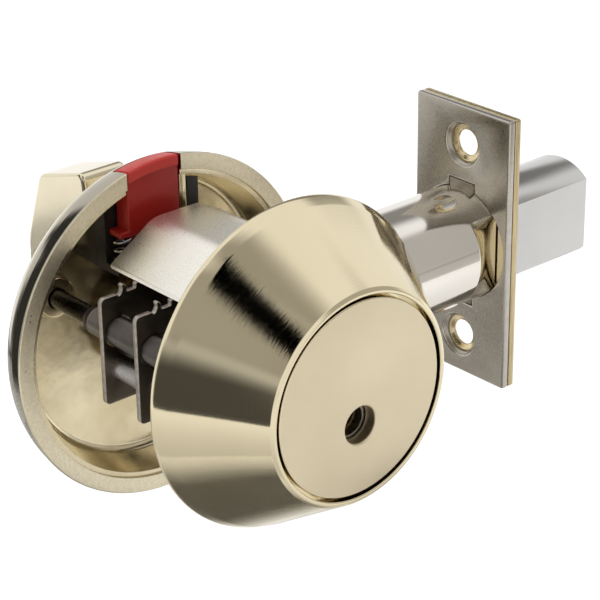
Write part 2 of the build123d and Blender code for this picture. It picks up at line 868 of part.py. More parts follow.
# Thumbturn: a cast grip with hollowed undersides on a round neck, its edges rounded
neck_front = rose_face + gap
neck_back = rose_face + neck_length
grip_root = neck_radius - grip_edge
grub_y = rose_face + neck_length / 2
grub_place = (grub_y, key_z)
with BuildPart() as thumbturn:
    with BuildSketch(Plane.YZ.offset(-grip_width / 2)) as grip:
        with BuildLine(Plane.XY.offset(0)):
            top = (grip_inner, key_z + grip_half_inner)
            low = (grip_inner, key_z - grip_half_inner)
            top_out = (grip_outer, key_z + grip_half_outer)
            low_out = (grip_outer, key_z - grip_half_outer)
            crown_top = (grip_outer + grip_crown, key_z + grip_half_crown)
            crown_low = (grip_outer + grip_crown, key_z - grip_half_crown)
            root_top = (neck_front + gap, key_z + grip_root)
            root_low = (neck_front + gap, key_z - grip_root)
            Line(root_low, root_top)
            SagittaArc(root_top, top, -grip_hollow)
            Line(top, top_out)
            Line(top_out, crown_top)
            Line(crown_top, crown_low)
            Line(crown_low, low_out)
            Line(low_out, low)
            SagittaArc(low, root_low, -grip_hollow)
        make_face()
        fillet(grip.vertices().sort_by(Axis.X)[-2:], grip_bend)
        fillet(grip.vertices().sort_by(Axis.X)[4:6], grip_corner)
        fillet(grip.vertices().sort_by(Axis.X)[2:4], grip_heel)
    extrude(amount=grip_width)
    rims = thumbturn.faces().filter_by(Axis.X).edges()
    fillet(rims, grip_edge)
    rod(neck_radius, neck_front, neck_back, [(0, key_z)])
    rod(spindle_radius + seat, neck_front, spindle_end + gap, [(0, key_z)], Mode.SUBTRACT)
    with BuildSketch(Plane.YZ):
        with Locations(grub_place):
            Circle(grub_radius + seat)
    extrude(amount=-neck_radius, mode=Mode.SUBTRACT)
thumbturn.part.label = "thumbturn"

# Grub screw that clamps the thumbturn on the spindle
with BuildPart() as turn_grub_screw:
    with BuildSketch(Plane.YZ.offset(-spindle_radius - seat)):
        with Locations(grub_place):
            Circle(grub_radius)
    extrude(amount=-grub_length)
turn_grub_screw.part.label = "turn_grub_screw"

# Button: red block in the rim's notch, its head shaped like the rim, with a foot on the
# spring and a nose that drops into the spindle's notches
button_front = door_in + button_inset
with BuildPart() as lock_button:
    rose_shape([(0, rose_face), (0, door_in)])
    with BuildSketch(across(button_back)):
        with Locations((button_centre, (button_head_bottom + notch_top) / 2)):
            Rectangle(button_width, notch_top - button_head_bottom)
    extrude(amount=button_depth, mode=Mode.INTERSECT)
    with BuildSketch(across(button_back)):
        with BuildLine():
            Polyline(
                (button_right, button_head_bottom + gap),
                (button_left, button_head_bottom + gap),
                (button_left, foot_top),
                (foot_left, foot_top),
                (foot_left, foot_bottom),
                (spring_side, foot_bottom),
                (spring_side, button_bottom),
                (-nose_width / 2, button_bottom),
                (-nose_width / 2, nose_bottom),
                (nose_width / 2, nose_bottom),
                (nose_width / 2, button_bottom),
                (button_right, button_bottom),
                close=True,
            )
        make_face()
    extrude(amount=button_depth - button_inset)
lock_button.part.label = "lock_button"

# Guide: black moulding behind the button, with a rail beside it and a ledge for its spring
rail_front = door_in + rail_inset
guide_front = button_back + gap
rail_right = rib_x + rib_width / 2 + gap + rail_width / 2
rail_limit = rim_inner - 2 * rim_step
guide_left = button_left - rail_width
guide_right = rail_right + rail_width / 2
guide_back_top = rim_edge_z - guide_back_drop
ledge_right = spring_side - gap
with BuildPart() as button_guide:
    with BuildSketch(across(cup_floor)):
        with Locations(((guide_left + guide_right) / 2, rail_bottom + guide_bar_height / 2)):
            Rectangle(guide_right - guide_left, guide_bar_height)
        with Locations(((guide_left + button_right) / 2, (rail_bottom + guide_back_top) / 2)):
            Rectangle(button_right - guide_left, guide_back_top - rail_bottom)
        with Locations((guide_left + rail_width / 2, (rail_bottom + rim_edge_z) / 2)):
            Rectangle(rail_width, rim_edge_z - rail_bottom)
    extrude(amount=cup_floor - guide_front)
    with BuildSketch(across(cup_floor)):
        with Locations((rail_right, (rail_bottom + rim_edge_z) / 2)):
            Rectangle(rail_width, rim_edge_z - rail_bottom)
        with Locations(((guide_left + ledge_right) / 2, (rail_bottom + spring_base) / 2)):
            Rectangle(ledge_right - guide_left, spring_base - rail_bottom)
    extrude(amount=cup_floor - rail_front)
    turned(
        [
            (0, door_in),
            (rail_limit - gap, door_in),
            (cup_floor_radius - gap, cup_floor),
            (0, cup_floor),
        ],
        key_plane,
        key_axis,
        Mode.INTERSECT,
    )
button_guide.part.label = "button_guide"

# Spring under the button's foot: one round wire wound on a helix
spring_y = (button_front + button_back) / 2
spring_low = spring_base + seat + spring_wire / 2
spring_high = foot_bottom - seat - spring_wire / 2
spring_pitch = (spring_high - spring_low) / spring_turns


def coil_point(turns):
    """Point on the wire's centre line after so many turns."""
    angle = 2 * pi * turns
    x = spring_x + spring_coil_radius * cos(angle)
    y = spring_y + spring_coil_radius * sin(angle)
    return Vector(x, y, spring_low + spring_pitch * turns)


def coil_tangent(turns):
    """Direction of the wire after so many turns."""
    angle = 2 * pi * turns
    across_x = -2 * pi * spring_coil_radius * sin(angle)
    across_y = 2 * pi * spring_coil_radius * cos(angle)
    return Vector(across_x, across_y, spring_pitch).normalized()


def coil_piece(start, end):
    """Two arcs that leave and arrive along the wire."""
    chord = coil_point(end) - coil_point(start)
    leave = coil_tangent(start)
    arrive = coil_tangent(end)
    both = chord.dot(leave + arrive)
    spread = 2 * (1 - leave.dot(arrive))
    reach = (sqrt(both**2 + spread * chord.dot(chord)) - both) / spread
    joint = (coil_point(start) + coil_point(end) + (leave - arrive) * reach) * 0.5
    between = coil_point(end) - arrive * reach - coil_point(start) - leave * reach
    TangentArc(coil_point(start), joint, tangent=leave)
    TangentArc(joint, coil_point(end), tangent=between.normalized())


with BuildPart() as button_spring:
    with BuildLine() as coil:
        for quarter in range(4 * spring_turns):
            coil_piece(quarter / 4, (quarter + 1) / 4)
    with BuildSketch(Plane(origin=coil_point(0), z_dir=coil_tangent(0))):
        Circle(spring_wire / 2)
    sweep(path=coil.line)
button_spring.part.label = "button_spring"

# Least free space between two turns of the wire, from points on its centre line
coil_points = [tuple(coil_point(n / 48)) for n in range(48 * spring_turns + 1)]
pairs = [(p, q) for n, p in enumerate(coil_points) for q in coil_points[n + 36 :]]
least = min(dist(p, q) for p, q in pairs) - spring_wire
print("button_spring least self-gap", round(least, 3))

os.makedirs("parts", exist_ok=True)
export_step(cylinder_collar.part, "parts/cylinder_collar.step")
export_step(face_disc.part, "parts/face_disc.step")
export_step(collar_washer.part, "parts/collar_washer.step")
export_step(cylinder_housing.part, "parts/cylinder_housing.step")
export_step(disc_barrel.part, "parts/disc_barrel.step")
export_step(keyway_disc.part, "parts/keyway_disc.step")
export_step(detainer_discs.part, "parts/detainer_discs.step")
export_step(disc_spacers.part, "parts/disc_spacers.step")
export_step(sidebar.part, "parts/sidebar.step")
export_step(barrel_clip.part, "parts/barrel_clip.step")
export_step(tailpiece.part, "parts/tailpiece.step")
export_step(mounting_posts.part, "parts/mounting_posts.step")
export_step(mounting_screws.part, "parts/mounting_screws.step")
export_step(bolt.part, "parts/bolt.step")
export_step(bolt_roller.part, "parts/bolt_roller.step")
export_step(bolt_tail.part, "parts/bolt_tail.step")
export_step(tail_rivets.part, "parts/tail_rivets.step")
export_step(bolt_tube.part, "parts/bolt_tube.step")
export_step(face_backplate.part, "parts/face_backplate.step")
export_step(faceplate.part, "parts/faceplate.step")
export_step(case_plate_near.part, "parts/case_plate_near.step")
export_step(case_plate_far.part, "parts/case_plate_far.step")
export_step(case_spacers.part, "parts/case_spacers.step")
export_step(crank_hub.part, "parts/crank_hub.step")
export_step(crank_arm.part, "parts/crank_arm.step")
export_step(crank_pin.part, "parts/crank_pin.step")
export_step(guard_hood.part, "parts/guard_hood.step")
export_step(inner_rose.part, "parts/inner_rose.step")
export_step(spindle_bush.part, "parts/spindle_bush.step")
export_step(thrust_washer.part, "parts/thrust_washer.step")
export_step(turn_spindle.part, "parts/turn_spindle.step")
export_step(thumbturn.part, "parts/thumbturn.step")
export_step(turn_grub_screw.part, "parts/turn_grub_screw.step")
export_step(lock_button.part, "parts/lock_button.step")
export_step(button_guide.part, "parts/button_guide.step")
export_step(button_spring.part, "parts/button_spring.step")
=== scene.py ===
import math

import bmesh
import bpy
from mathutils import Matrix, Vector
from mathutils.geometry import tessellate_polygon


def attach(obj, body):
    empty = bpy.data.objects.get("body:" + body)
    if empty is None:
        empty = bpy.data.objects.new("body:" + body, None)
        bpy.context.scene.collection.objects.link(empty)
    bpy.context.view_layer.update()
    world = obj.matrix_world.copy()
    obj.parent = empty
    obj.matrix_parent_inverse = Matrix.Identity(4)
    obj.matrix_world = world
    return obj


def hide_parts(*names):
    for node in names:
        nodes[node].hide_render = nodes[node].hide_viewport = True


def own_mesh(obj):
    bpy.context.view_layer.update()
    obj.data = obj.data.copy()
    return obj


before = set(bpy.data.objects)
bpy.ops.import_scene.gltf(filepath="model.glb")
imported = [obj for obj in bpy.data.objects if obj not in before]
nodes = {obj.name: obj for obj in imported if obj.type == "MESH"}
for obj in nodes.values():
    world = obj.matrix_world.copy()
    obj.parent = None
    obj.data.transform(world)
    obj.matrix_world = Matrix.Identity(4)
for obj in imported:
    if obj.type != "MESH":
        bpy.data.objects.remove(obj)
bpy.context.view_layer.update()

# Collar of the key cylinder.
# A conical ring turned from brass, brushed round and round, with its lip and back edge polished.
# It turns freely on the housing behind it, so a pipe wrench gets no grip on it.
mm = 0.001


def rounded(corners, steps=6):
    """Closed outline whose corners, given as (a, b, radius), are rounded."""
    outline = []
    for at, corner in enumerate(corners):
        here = Vector(corner[:2])
        radius = corner[2] if len(corner) > 2 else 0
        if not radius:
            outline.append(here)
            continue
        back = (Vector(corners[at - 1][:2]) - here).normalized()
        ahead = (Vector(corners[(at + 1) % len(corners)][:2]) - here).normalized()
        half = back.angle(ahead) / 2
        middle = here + (back + ahead).normalized() * (radius / math.sin(half))
        first = here + back * (radius / math.tan(half)) - middle
        last = here + ahead * (radius / math.tan(half)) - middle
        sweep = first.angle(last)
        for step in range(steps + 1):
            part = step / steps
            spoke = first * math.sin((1 - part) * sweep) + last * math.sin(part * sweep)
            outline.append(middle + spoke / math.sin(sweep))
    return outline


def woven(rows, count, start=0, closed=False):
    """Faces between neighbouring rows of points; closed joins the last row to the first."""
    faces = []
    for row in range(rows if closed else rows - 1):
        here = start + row * count
        there = start + (row + 1) % rows * count
        for at in range(count):
            after = (at + 1) % count
            faces.append((here + at, here + after, there + after, there + at))
    return faces


def turned(rings, segments=256):
    """Skin over a closed list of rings about Y, each (radius, depth, height of its centre)."""
    verts = []
    for step in range(segments):
        angle = 2 * math.pi * step / segments
        for radius, depth, height in rings:
            verts.append((radius * math.cos(angle), depth, height + radius * math.sin(angle)))
    return verts, woven(segments, len(rings), closed=True)


def about(outline, height=0.0):
    """Rings for turned() from an outline of (radius, depth) points."""
    return [(radius, depth, height) for radius, depth in outline]


def piece(name, skins, body, finish, stands_for=(), sharp=32, worn=None):
    """Make one piece from skins of millimetre points and hand it to its body."""
    mesh = bpy.data.meshes.new(name)
    points = []
    faces = []
    for verts, skin_faces in skins:
        faces += [tuple(len(points) + v for v in face) for face in skin_faces]
        points += [Vector(v) * mm for v in verts]
    mesh.from_pydata(points, [], faces)
    work = bmesh.new()
    work.from_mesh(mesh)
    if worn:
        layer = work.verts.layers.float.new("worn_edge")
        for vert, value in zip(work.verts, worn):
            vert[layer] = value
    bmesh.ops.remove_doubles(work, verts=work.verts, dist=1e-7)
    bmesh.ops.recalc_face_normals(work, faces=work.faces)
    for face in work.faces:
        face.smooth = True
    for edge in work.edges:
        edge.smooth = len(edge.link_faces) != 2 or edge.calc_face_angle() < math.radians(sharp)
    work.to_mesh(mesh)
    work.free()
    made = bpy.data.objects.new(name, mesh)
    bpy.context.scene.collection.objects.link(made)
    mesh.materials.append(finish)
    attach(made, body)
    if stands_for:
        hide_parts(*stands_for)
    return made


def put(tree, kind, inputs=None, **settings):
    """Add a node, set its options, and link or set its inputs."""
    made = tree.nodes.new(kind)
    for key, value in settings.items():
        setattr(made, key, value)
    for key, value in (inputs or {}).items():
        if isinstance(value, bpy.types.NodeSocket):
            tree.links.new(value, made.inputs[key])
        else:
            made.inputs[key].default_value = value
    return made


def effect(name, inputs, outputs):
    """Start a shader node group with named float or vector sockets."""
    group = bpy.data.node_groups.new(name, "ShaderNodeTree")
    for label, kind, value in inputs:
        socket = group.interface.new_socket(label, in_out="INPUT", socket_type=kind)
        socket.default_value = value
    for label, kind in outputs:
        group.interface.new_socket(label, in_out="OUTPUT", socket_type=kind)
    return group, put(group, "NodeGroupInput"), put(group, "NodeGroupOutput")


def place(tree, group, inputs=None):
    """Put a node group into a material with its own values."""
    return put(tree, "ShaderNodeGroup", inputs, node_tree=group)


def finish_of(name, metal, roughness):
    """New material; returns it with its tree and its Principled shader."""
    material = bpy.data.materials.new(name)
    material.use_nodes = True
    tree = material.node_tree
    shader = tree.nodes["Principled BSDF"]
    shader.inputs["Metallic"].default_value = metal
    shader.inputs["Roughness"].default_value = roughness
    return material, tree, shader


def tone(tree, mask, low, high, start, end):
    """Colour that goes from low to high as the mask rises from start to end."""
    ramp = put(tree, "ShaderNodeValToRGB", {"Fac": mask})
    ramp.color_ramp.elements[0].position = start
    ramp.color_ramp.elements[0].color = (*low, 1)
    ramp.color_ramp.elements[1].position = end
    ramp.color_ramp.elements[1].color = (*high, 1)
    return ramp.outputs["Color"]


def spread(tree, mask, low, high, start=0.0, end=1.0):
    """Value that goes from low to high as the mask rises from start to end."""
    inputs = {"Value": mask, "From Min": start, "From Max": end, "To Min": low, "To Max": high}
    return put(tree, "ShaderNodeMapRange", inputs).outputs["Result"]


def math_of(tree, operation, first, second=None):
    """One Math node."""
    inputs = {0: first} if second is None else {0: first, 1: second}
    return put(tree, "ShaderNodeMath", inputs, operation=operation).outputs[0]


def mixed(tree, mask, first, second):
    """Value or colour that goes from the first to the second as the mask rises."""
    if first.type == "RGBA":
        inputs = {0: mask, 6: first, 7: second}
        return put(tree, "ShaderNodeMix", inputs, data_type="RGBA").outputs[2]
    return put(tree, "ShaderNodeMix", {0: mask, 2: first, 3: second}).outputs[0]


def object_place(tree):
    """Where a point lies on the lock."""
    return put(tree, "ShaderNodeTexCoord").outputs["Object"]


def coat(tree, shader, colour, rough, relief=None, strength=0.1, distance=0.00005):
    """Give a shader its colour, its roughness and the bump of a relief."""
    tree.links.new(colour, shader.inputs["Base Color"])
    tree.links.new(rough, shader.inputs["Roughness"])
    if relief:
        inputs = {"Strength": strength, "Distance": distance, "Height": relief}
        bump = put(tree, "ShaderNodeBump", inputs)
        tree.links.new(bump.outputs["Normal"], shader.inputs["Normal"])


# Brush lines that run round the Y axis, from the angle, depth and radius of a point
brushing, brush_in, brush_out = effect(
    "brush_lines_round",
    [
        ("Axis Height", "NodeSocketFloat", 0.0),
        ("Along", "NodeSocketFloat", 2.0),
        ("Across", "NodeSocketFloat", 3500.0),
    ],
    [("Lines", "NodeSocketFloat"), ("Cloud", "NodeSocketFloat"), ("Radius", "NodeSocketFloat")],
)
where = object_place(brushing)
split = put(brushing, "ShaderNodeSeparateXYZ", {0: where})
height = math_of(brushing, "SUBTRACT", split.outputs["Z"], brush_in.outputs["Axis Height"])
angle = math_of(brushing, "ARCTAN2", height, split.outputs["X"])
square = math_of(brushing, "MULTIPLY", split.outputs["X"], split.outputs["X"])
square = math_of(brushing, "ADD", square, math_of(brushing, "MULTIPLY", height, height))
radius = math_of(brushing, "SQRT", square)
along = math_of(brushing, "MULTIPLY", angle, brush_in.outputs["Along"])
depth = math_of(brushing, "MULTIPLY", split.outputs["Y"], brush_in.outputs["Across"])
out = math_of(brushing, "MULTIPLY", radius, brush_in.outputs["Across"])
streak = put(brushing, "ShaderNodeCombineXYZ", {0: along, 1: depth, 2: out}).outputs[0]
lines = put(brushing, "ShaderNodeTexNoise", {"Vector": streak, "Scale": 1.0, "Detail": 3.0})
cloud = put(brushing, "ShaderNodeTexNoise", {"Vector": where, "Scale": 45.0, "Detail": 3.0})
brushing.links.new(lines.outputs["Fac"], brush_out.inputs["Lines"])
brushing.links.new(cloud.outputs["Fac"], brush_out.inputs["Cloud"])
brushing.links.new(radius, brush_out.inputs["Radius"])

satin_brass, tree, shader = finish_of("satin_brass", 1.0, 0.3)
brush = place(tree, brushing, {"Along": 6.0, "Across": 5200.0})
front = put(tree, "ShaderNodeSeparateXYZ", {0: object_place(tree)}).outputs["Y"]
lip = spread(tree, front, 1.0, 0.0, -0.0362, -0.0356)
back_edge = spread(tree, front, 0.0, 1.0, -0.0192, -0.0188)
polished = math_of(tree, "MAXIMUM", lip, back_edge)
base = tone(tree, brush.outputs["Cloud"], (0.75, 0.66, 0.455), (0.8, 0.71, 0.5), 0.3, 0.7)
satin = spread(tree, brush.outputs["Lines"], 0.05, 0.08, 0.3, 0.7)
brushed = math_of(tree, "SUBTRACT", 1.0, polished)
depth = math_of(tree, "MULTIPLY", brush.outputs["Lines"], brushed)
coat(tree, shader, base, mixed(tree, polished, satin, 0.1), depth, 0.2, 0.00003)
shader.inputs["Anisotropic"].default_value = 0.3
shader.inputs["Anisotropic Rotation"].default_value = 0.25
turning = put(tree, "ShaderNodeTangent", direction_type="RADIAL", axis="Y")
tree.links.new(turning.outputs[0], shader.inputs["Tangent"])

collar_front = -36.5
collar_back = -17.5
collar_mouth = 19.1
collar_bore = 17.06
collar_hollow = 28.7
web_front = -33.5
web_back = -30.7
collar_outline = rounded(
    [
        (collar_hollow, collar_back, 0.1),
        (31.2, collar_back, 0.35),
        (31.3, -18.2, 1.6),
        (30.15, -20.5, 4.0),
        (20.3, collar_front + 0.4, 0.5),
        (19.75, collar_front, 0.45),
        (collar_mouth, collar_front, 0.25),
        (collar_mouth, web_front),
        (collar_bore, web_front),
        (collar_bore, web_back),
        (21.09, web_back),
        (collar_hollow, -18.7),
    ]
)
piece(
    "collar",
    [turned(about(collar_outline), 320)],
    "collar",
    satin_brass,
    ["cylinder_collar"],
)

# Face disc in the collar's mouth.
# A hardened plate with a fine matt face and a polished edge, pressed on the housing's front.
# The round keyhole sits low, in line with the turn inside.
key_height = -5.2
disc_front = -36.3
disc_back = -33.8
disc_radius = 18.45
keyhole_radius = 3.5
mid_radius = 9.0
edge_points = 8
disc_edge = rounded(
    [
        (disc_radius, disc_back),
        (disc_radius, disc_front, 0.25),
        (mid_radius, disc_front),
        (mid_radius, disc_back),
    ]
)
hole_edge = rounded(
    [
        (keyhole_radius, disc_front, 0.4),
        (keyhole_radius, disc_back),
        (mid_radius, disc_back),
        (mid_radius, disc_front),
    ]
)
# Only the points at the two edges are kept; each flat face spans from the one to the other
disc_rings = about(disc_edge[:edge_points]) + about(hole_edge[:edge_points], key_height)
face_brass, tree, shader = finish_of("face_brass", 1.0, 0.36)
brush = place(tree, brushing, {"Along": 30.0, "Across": 3000.0})
inputs = {"Vector": object_place(tree), "Scale": 5200.0, "Detail": 2.0}
grain = put(tree, "ShaderNodeTexNoise", inputs).outputs["Fac"]
base = tone(tree, brush.outputs["Cloud"], (0.72, 0.62, 0.44), (0.78, 0.69, 0.50), 0.3, 0.7)
edge = spread(tree, brush.outputs["Radius"], 0.0, 1.0, 0.01818, 0.01825)
matt = spread(tree, grain, 0.32, 0.44, 0.35, 0.65)
coat(tree, shader, base, mixed(tree, edge, matt, 0.12), grain, 0.22, 0.00004)
disc_skin = turned(disc_rings)
piece("face_disc_plate", [disc_skin], "lock_body", face_brass, ["face_disc"])

# Works inside the cylinder, the case and the rose.
# Turned and stamped steel and brass, left plain from the machine, with fine tool lines.
# They sit in the housing, the case and the cup, and only glimpses of them show.
tool_marks, marks_in, marks_out = effect(
    "tool_marks",
    [("Scale", "NodeSocketFloat", 900.0), ("Stretch", "NodeSocketVector", (1.0, 1.0, 1.0))],
    [("Grain", "NodeSocketFloat"), ("Cloud", "NodeSocketFloat")],
)
where = object_place(tool_marks)
stretched = put(
    tool_marks,
    "ShaderNodeVectorMath",
    {0: where, 1: marks_in.outputs["Stretch"]},
    operation="MULTIPLY",
).outputs[0]
grain = put(
    tool_marks,
    "ShaderNodeTexNoise",
    {"Vector": stretched, "Scale": marks_in.outputs["Scale"], "Detail": 3.0},
)
cloud = put(tool_marks, "ShaderNodeTexNoise", {"Vector": where, "Scale": 70.0, "Detail": 4.0})
tool_marks.links.new(grain.outputs["Fac"], marks_out.inputs["Grain"])
tool_marks.links.new(cloud.outputs["Fac"], marks_out.inputs["Cloud"])


def plain_metal(
    name, dark, light, smooth, matt, scale, stretch=(1, 1, 1), bump=0.1, deep=0.00005
):
    """Bare metal with tool marks in its colour, gloss and surface."""
    material, tree, shader = finish_of(name, 1.0, matt)
    marks = place(tree, tool_marks, {"Scale": scale, "Stretch": stretch})
    grain = marks.outputs["Grain"]
    base = tone(tree, marks.outputs["Cloud"], dark, light, 0.3, 0.7)
    coat(tree, shader, base, spread(tree, grain, smooth, matt, 0.3, 0.7), grain, bump, deep)
    return material


works_steel = plain_metal("works_steel", (0.38, 0.36, 0.34), (0.52, 0.5, 0.47), 0.25, 0.42, 1800.0)
disc_brass = plain_metal("disc_brass", (0.62, 0.46, 0.2), (0.74, 0.58, 0.3), 0.22, 0.36, 1500.0)
housing_zinc = plain_metal(
    "housing_zinc", (0.36, 0.35, 0.33), (0.46, 0.45, 0.43), 0.4, 0.6, 900.0, bump=0.3
)
spring_steel = plain_metal("spring_steel", (0.5, 0.5, 0.5), (0.62, 0.62, 0.62), 0.18, 0.3, 2500.0)
screw_steel = plain_metal(
    "screw_steel", (0.035, 0.032, 0.03), (0.07, 0.065, 0.06), 0.24, 0.34, 1500.0, bump=0.02
)


def dress(finish, *names):
    """Give carried-over solids their finish."""
    for name in names:
        nodes[name].data.materials.clear()
        nodes[name].data.materials.append(finish)


dress(works_steel, "keyway_disc", "disc_spacers", "sidebar", "tailpiece", "bolt_roller")
dress(works_steel, "bolt_tail", "tail_rivets", "case_spacers", "crank_hub", "crank_arm")
dress(works_steel, "crank_pin", "turn_spindle", "turn_grub_screw")
dress(disc_brass, "collar_washer", "disc_barrel", "detainer_discs", "spindle_bush")
dress(disc_brass, "thrust_washer")
dress(housing_zinc, "cylinder_housing")
dress(spring_steel, "barrel_clip")
dress(screw_steel, "mounting_screws")

# Mounting posts.
# Steel studs staked in the housing's flange, with a fine rolled thread and a chamfered end.
# Screws from the room side pull the rose against the door on them.
post_radius = 2.75
post_front = -14.5
post_end = 12.0
post_plain = 4.0
post_bore = 1.9
bore_depth = 6.0
post_neck = post_radius - 0.5
thread_pitch = 0.5
thread_root = post_radius - 0.09
thread_end = post_end - 1.4
post_places = ((-20.8, 5.2), (17.0, -14.5))


def turned_at(outline, x, z):
    """Turned skin about a line along Y through a place."""
    verts, faces = turned(about(outline), 64)
    return [(vx + x, vy, vz + z) for vx, vy, vz in verts], faces


# The thread is a row of fine grooves, and the end has a neck, a chamfer and a bore
post_outline = [(0.0, post_front), (post_radius, post_front)]
for turn in range(int((thread_end - post_front - post_plain) / thread_pitch)):
    start = post_front + post_plain + turn * thread_pitch
    post_outline += [
        (post_radius, start),
        (thread_root, start + thread_pitch * 0.3),
        (post_radius, start + thread_pitch * 0.6),
    ]
post_outline += [
    (post_radius, post_end - 1.2),
    (post_neck, post_end - 0.9),
    (post_neck, post_end - 0.6),
    (post_radius, post_end - 0.4),
    (post_radius - 0.2, post_end),
    (post_bore, post_end),
    (post_bore, post_end - bore_depth),
    (0.0, post_end - bore_depth),
]
post_steel = plain_metal("post_steel", (0.13, 0.115, 0.1), (0.22, 0.2, 0.18), 0.28, 0.4, 1400.0)
piece(
    "threaded_posts",
    [turned_at(post_outline, x, z) for x, z in post_places],
    "lock_body",
    post_steel,
    ["mounting_posts"],
    sharp=60,
)

# Case plates.
# Two sheet-steel sides, blanked and left dark, with bright sheared edges.
# Hooks on their top edges hold the hood, and their necks go into the bolt's tube.


def shifted(outline, amount):
    """Outline moved outward by an amount, square to its sides."""
    area = sum(p.x * q.y - q.x * p.y for p, q in zip(outline, outline[1:] + outline[:1]))
    sign = 1 if area > 0 else -1
    moved = []
    for at, here in enumerate(outline):
        back = (here - outline[at - 1]).normalized()
        ahead = (outline[(at + 1) % len(outline)] - here).normalized()
        normal = Vector((back.y + ahead.y, -back.x - ahead.x)).normalized() * sign
        lean = max(0.5, normal.dot(Vector((back.y, -back.x)) * sign))
        moved.append(here + normal * (amount / lean))
    return moved


def clean(outline):
    """Outline as vectors without doubled points."""
    points = [Vector(p[:2]) for p in outline]
    return [p for at, p in enumerate(points) if (p - points[at - 1]).length > 1e-4]


def ring_of(radius, middle, steps=48):
    """Circle outline."""
    angles = [2 * math.pi * step / steps for step in range(steps)]
    across, up = middle
    return [Vector((across + radius * math.cos(a), up + radius * math.sin(a))) for a in angles]


def slab(outer, holes, low, high, to_point, edge_low, edge_high, steps=3):
    """Plate cut to an outline, with holes and rounded edges; also its edge-wear values."""
    loops = [(clean(outer), -1)] + [(clean(hole), 1) for hole in holes]
    verts = []
    faces = []
    worn = []
    low_cap = []
    high_cap = []
    turns = [math.pi / 2 * step / steps for step in range(steps + 1)]
    curve = [(1 - math.sin(turn), 1 - math.cos(turn)) for turn in turns]
    levels = [(edge_low * inset, low + edge_low * rise) for inset, rise in curve]
    levels += [(edge_high * inset, high - edge_high * rise) for inset, rise in reversed(curve)]
    last = len(levels) - 1
    for outline, inward in loops:
        start = len(verts)
        for level, (inset, height) in enumerate(levels):
            for point in shifted(outline, inward * inset):
                verts.append(to_point(point.x, point.y, height))
                worn.append(0.0 if level in (0, last) else 1.0)
        faces += woven(len(levels), len(outline), start)
        low_cap.append((start, shifted(outline, inward * edge_low)))
        high_cap.append((start + last * len(outline), shifted(outline, inward * edge_high)))
    for loops_at_end in (low_cap, high_cap):
        index = [start + at for start, outline in loops_at_end for at in range(len(outline))]
        flat = [[Vector((p.x, p.y, 0)) for p in outline] for _, outline in loops_at_end]
        faces += [tuple(index[v] for v in triangle) for triangle in tessellate_polygon(flat)]
    return (verts, faces), worn


def facing_y(a, b, depth):
    """Outline in X and Z, thickness along Y."""
    return (a, depth, b)


def facing_x(a, b, depth):
    """Outline in Y and Z, thickness along X."""
    return (depth, a, b)


case_sheet = 1.1
case_end = -24.4
case_top = 12.4
ledge_top = 13.36
ledge_inner = 14.0
ledge_outer = 16.6
hook_top = 14.0
hook_inner = 18.7
neck_half = 9.07
neck_end = 30.0
lug_radius = 6.4
lug_start = 212
lug_sweep = 103
lug_steps = 16
hub_hole = 4.96
post_hole = 3.05
rivet_hole = 1.24
bearing_lug = []
for step in range(lug_steps + 1):
    turn = math.radians(lug_start + lug_sweep * step / lug_steps)
    bearing_lug.append((lug_radius * math.cos(turn), key_height + lug_radius * math.sin(turn)))
case_outline = rounded(
    [(case_end, -8.5, 1.0)]
    + bearing_lug
    + [
        (5.1, -neck_half),
        (neck_end, -neck_half, 1.0),
        (neck_end, neck_half, 1.0),
        (20.7, neck_half),
        (20.7, case_top, 0.5),
        (19.9, case_top),
        (19.9, hook_top, 0.58),
        (hook_inner, hook_top, 0.58),
        (hook_inner, case_top, 0.2),
        (ledge_outer, case_top, 0.2),
        (ledge_outer, ledge_top, 0.2),
        (ledge_inner, ledge_top, 0.3),
        (ledge_inner, case_top, 0.3),
        (-ledge_inner, case_top, 0.3),
        (-ledge_inner, ledge_top, 0.3),
        (-ledge_outer, ledge_top, 0.2),
        (-ledge_outer, case_top, 0.2),
        (-hook_inner, case_top, 0.2),
        (-18.8, 13.5, 0.4),
        (-19.3, hook_top, 0.2),
        (-19.8, 13.9, 0.25),
        (-19.6, 13.0, 0.4),
        (-19.9, 12.3, 0.2),
        (-20.4, 11.9, 0.3),
        (-20.9, case_top, 0.15),
        (case_end, case_top, 1.0),
    ],
    5,
)
case_holes = [ring_of(hub_hole, (0, key_height)), ring_of(post_hole, post_places[0])]
case_holes += [ring_of(rivet_hole, middle, 24) for middle in ((-20.8, -1.9), (15.5, -5.5))]
edge_wear, wear_in, wear_out = effect(
    "edge_wear",
    [("Breakup", "NodeSocketFloat", 900.0)],
    [("Bright", "NodeSocketFloat")],
)
edge = put(edge_wear, "ShaderNodeAttribute", attribute_name="worn_edge")
inputs = {"Vector": object_place(edge_wear), "Scale": wear_in.outputs["Breakup"], "Detail": 3.0}
patches = put(edge_wear, "ShaderNodeTexNoise", inputs)
broken = spread(edge_wear, patches.outputs["Fac"], 0.6, 1.0, 0.35, 0.6)
bright = math_of(edge_wear, "MULTIPLY", edge.outputs["Fac"], broken)
edge_wear.links.new(bright, wear_out.inputs["Bright"])

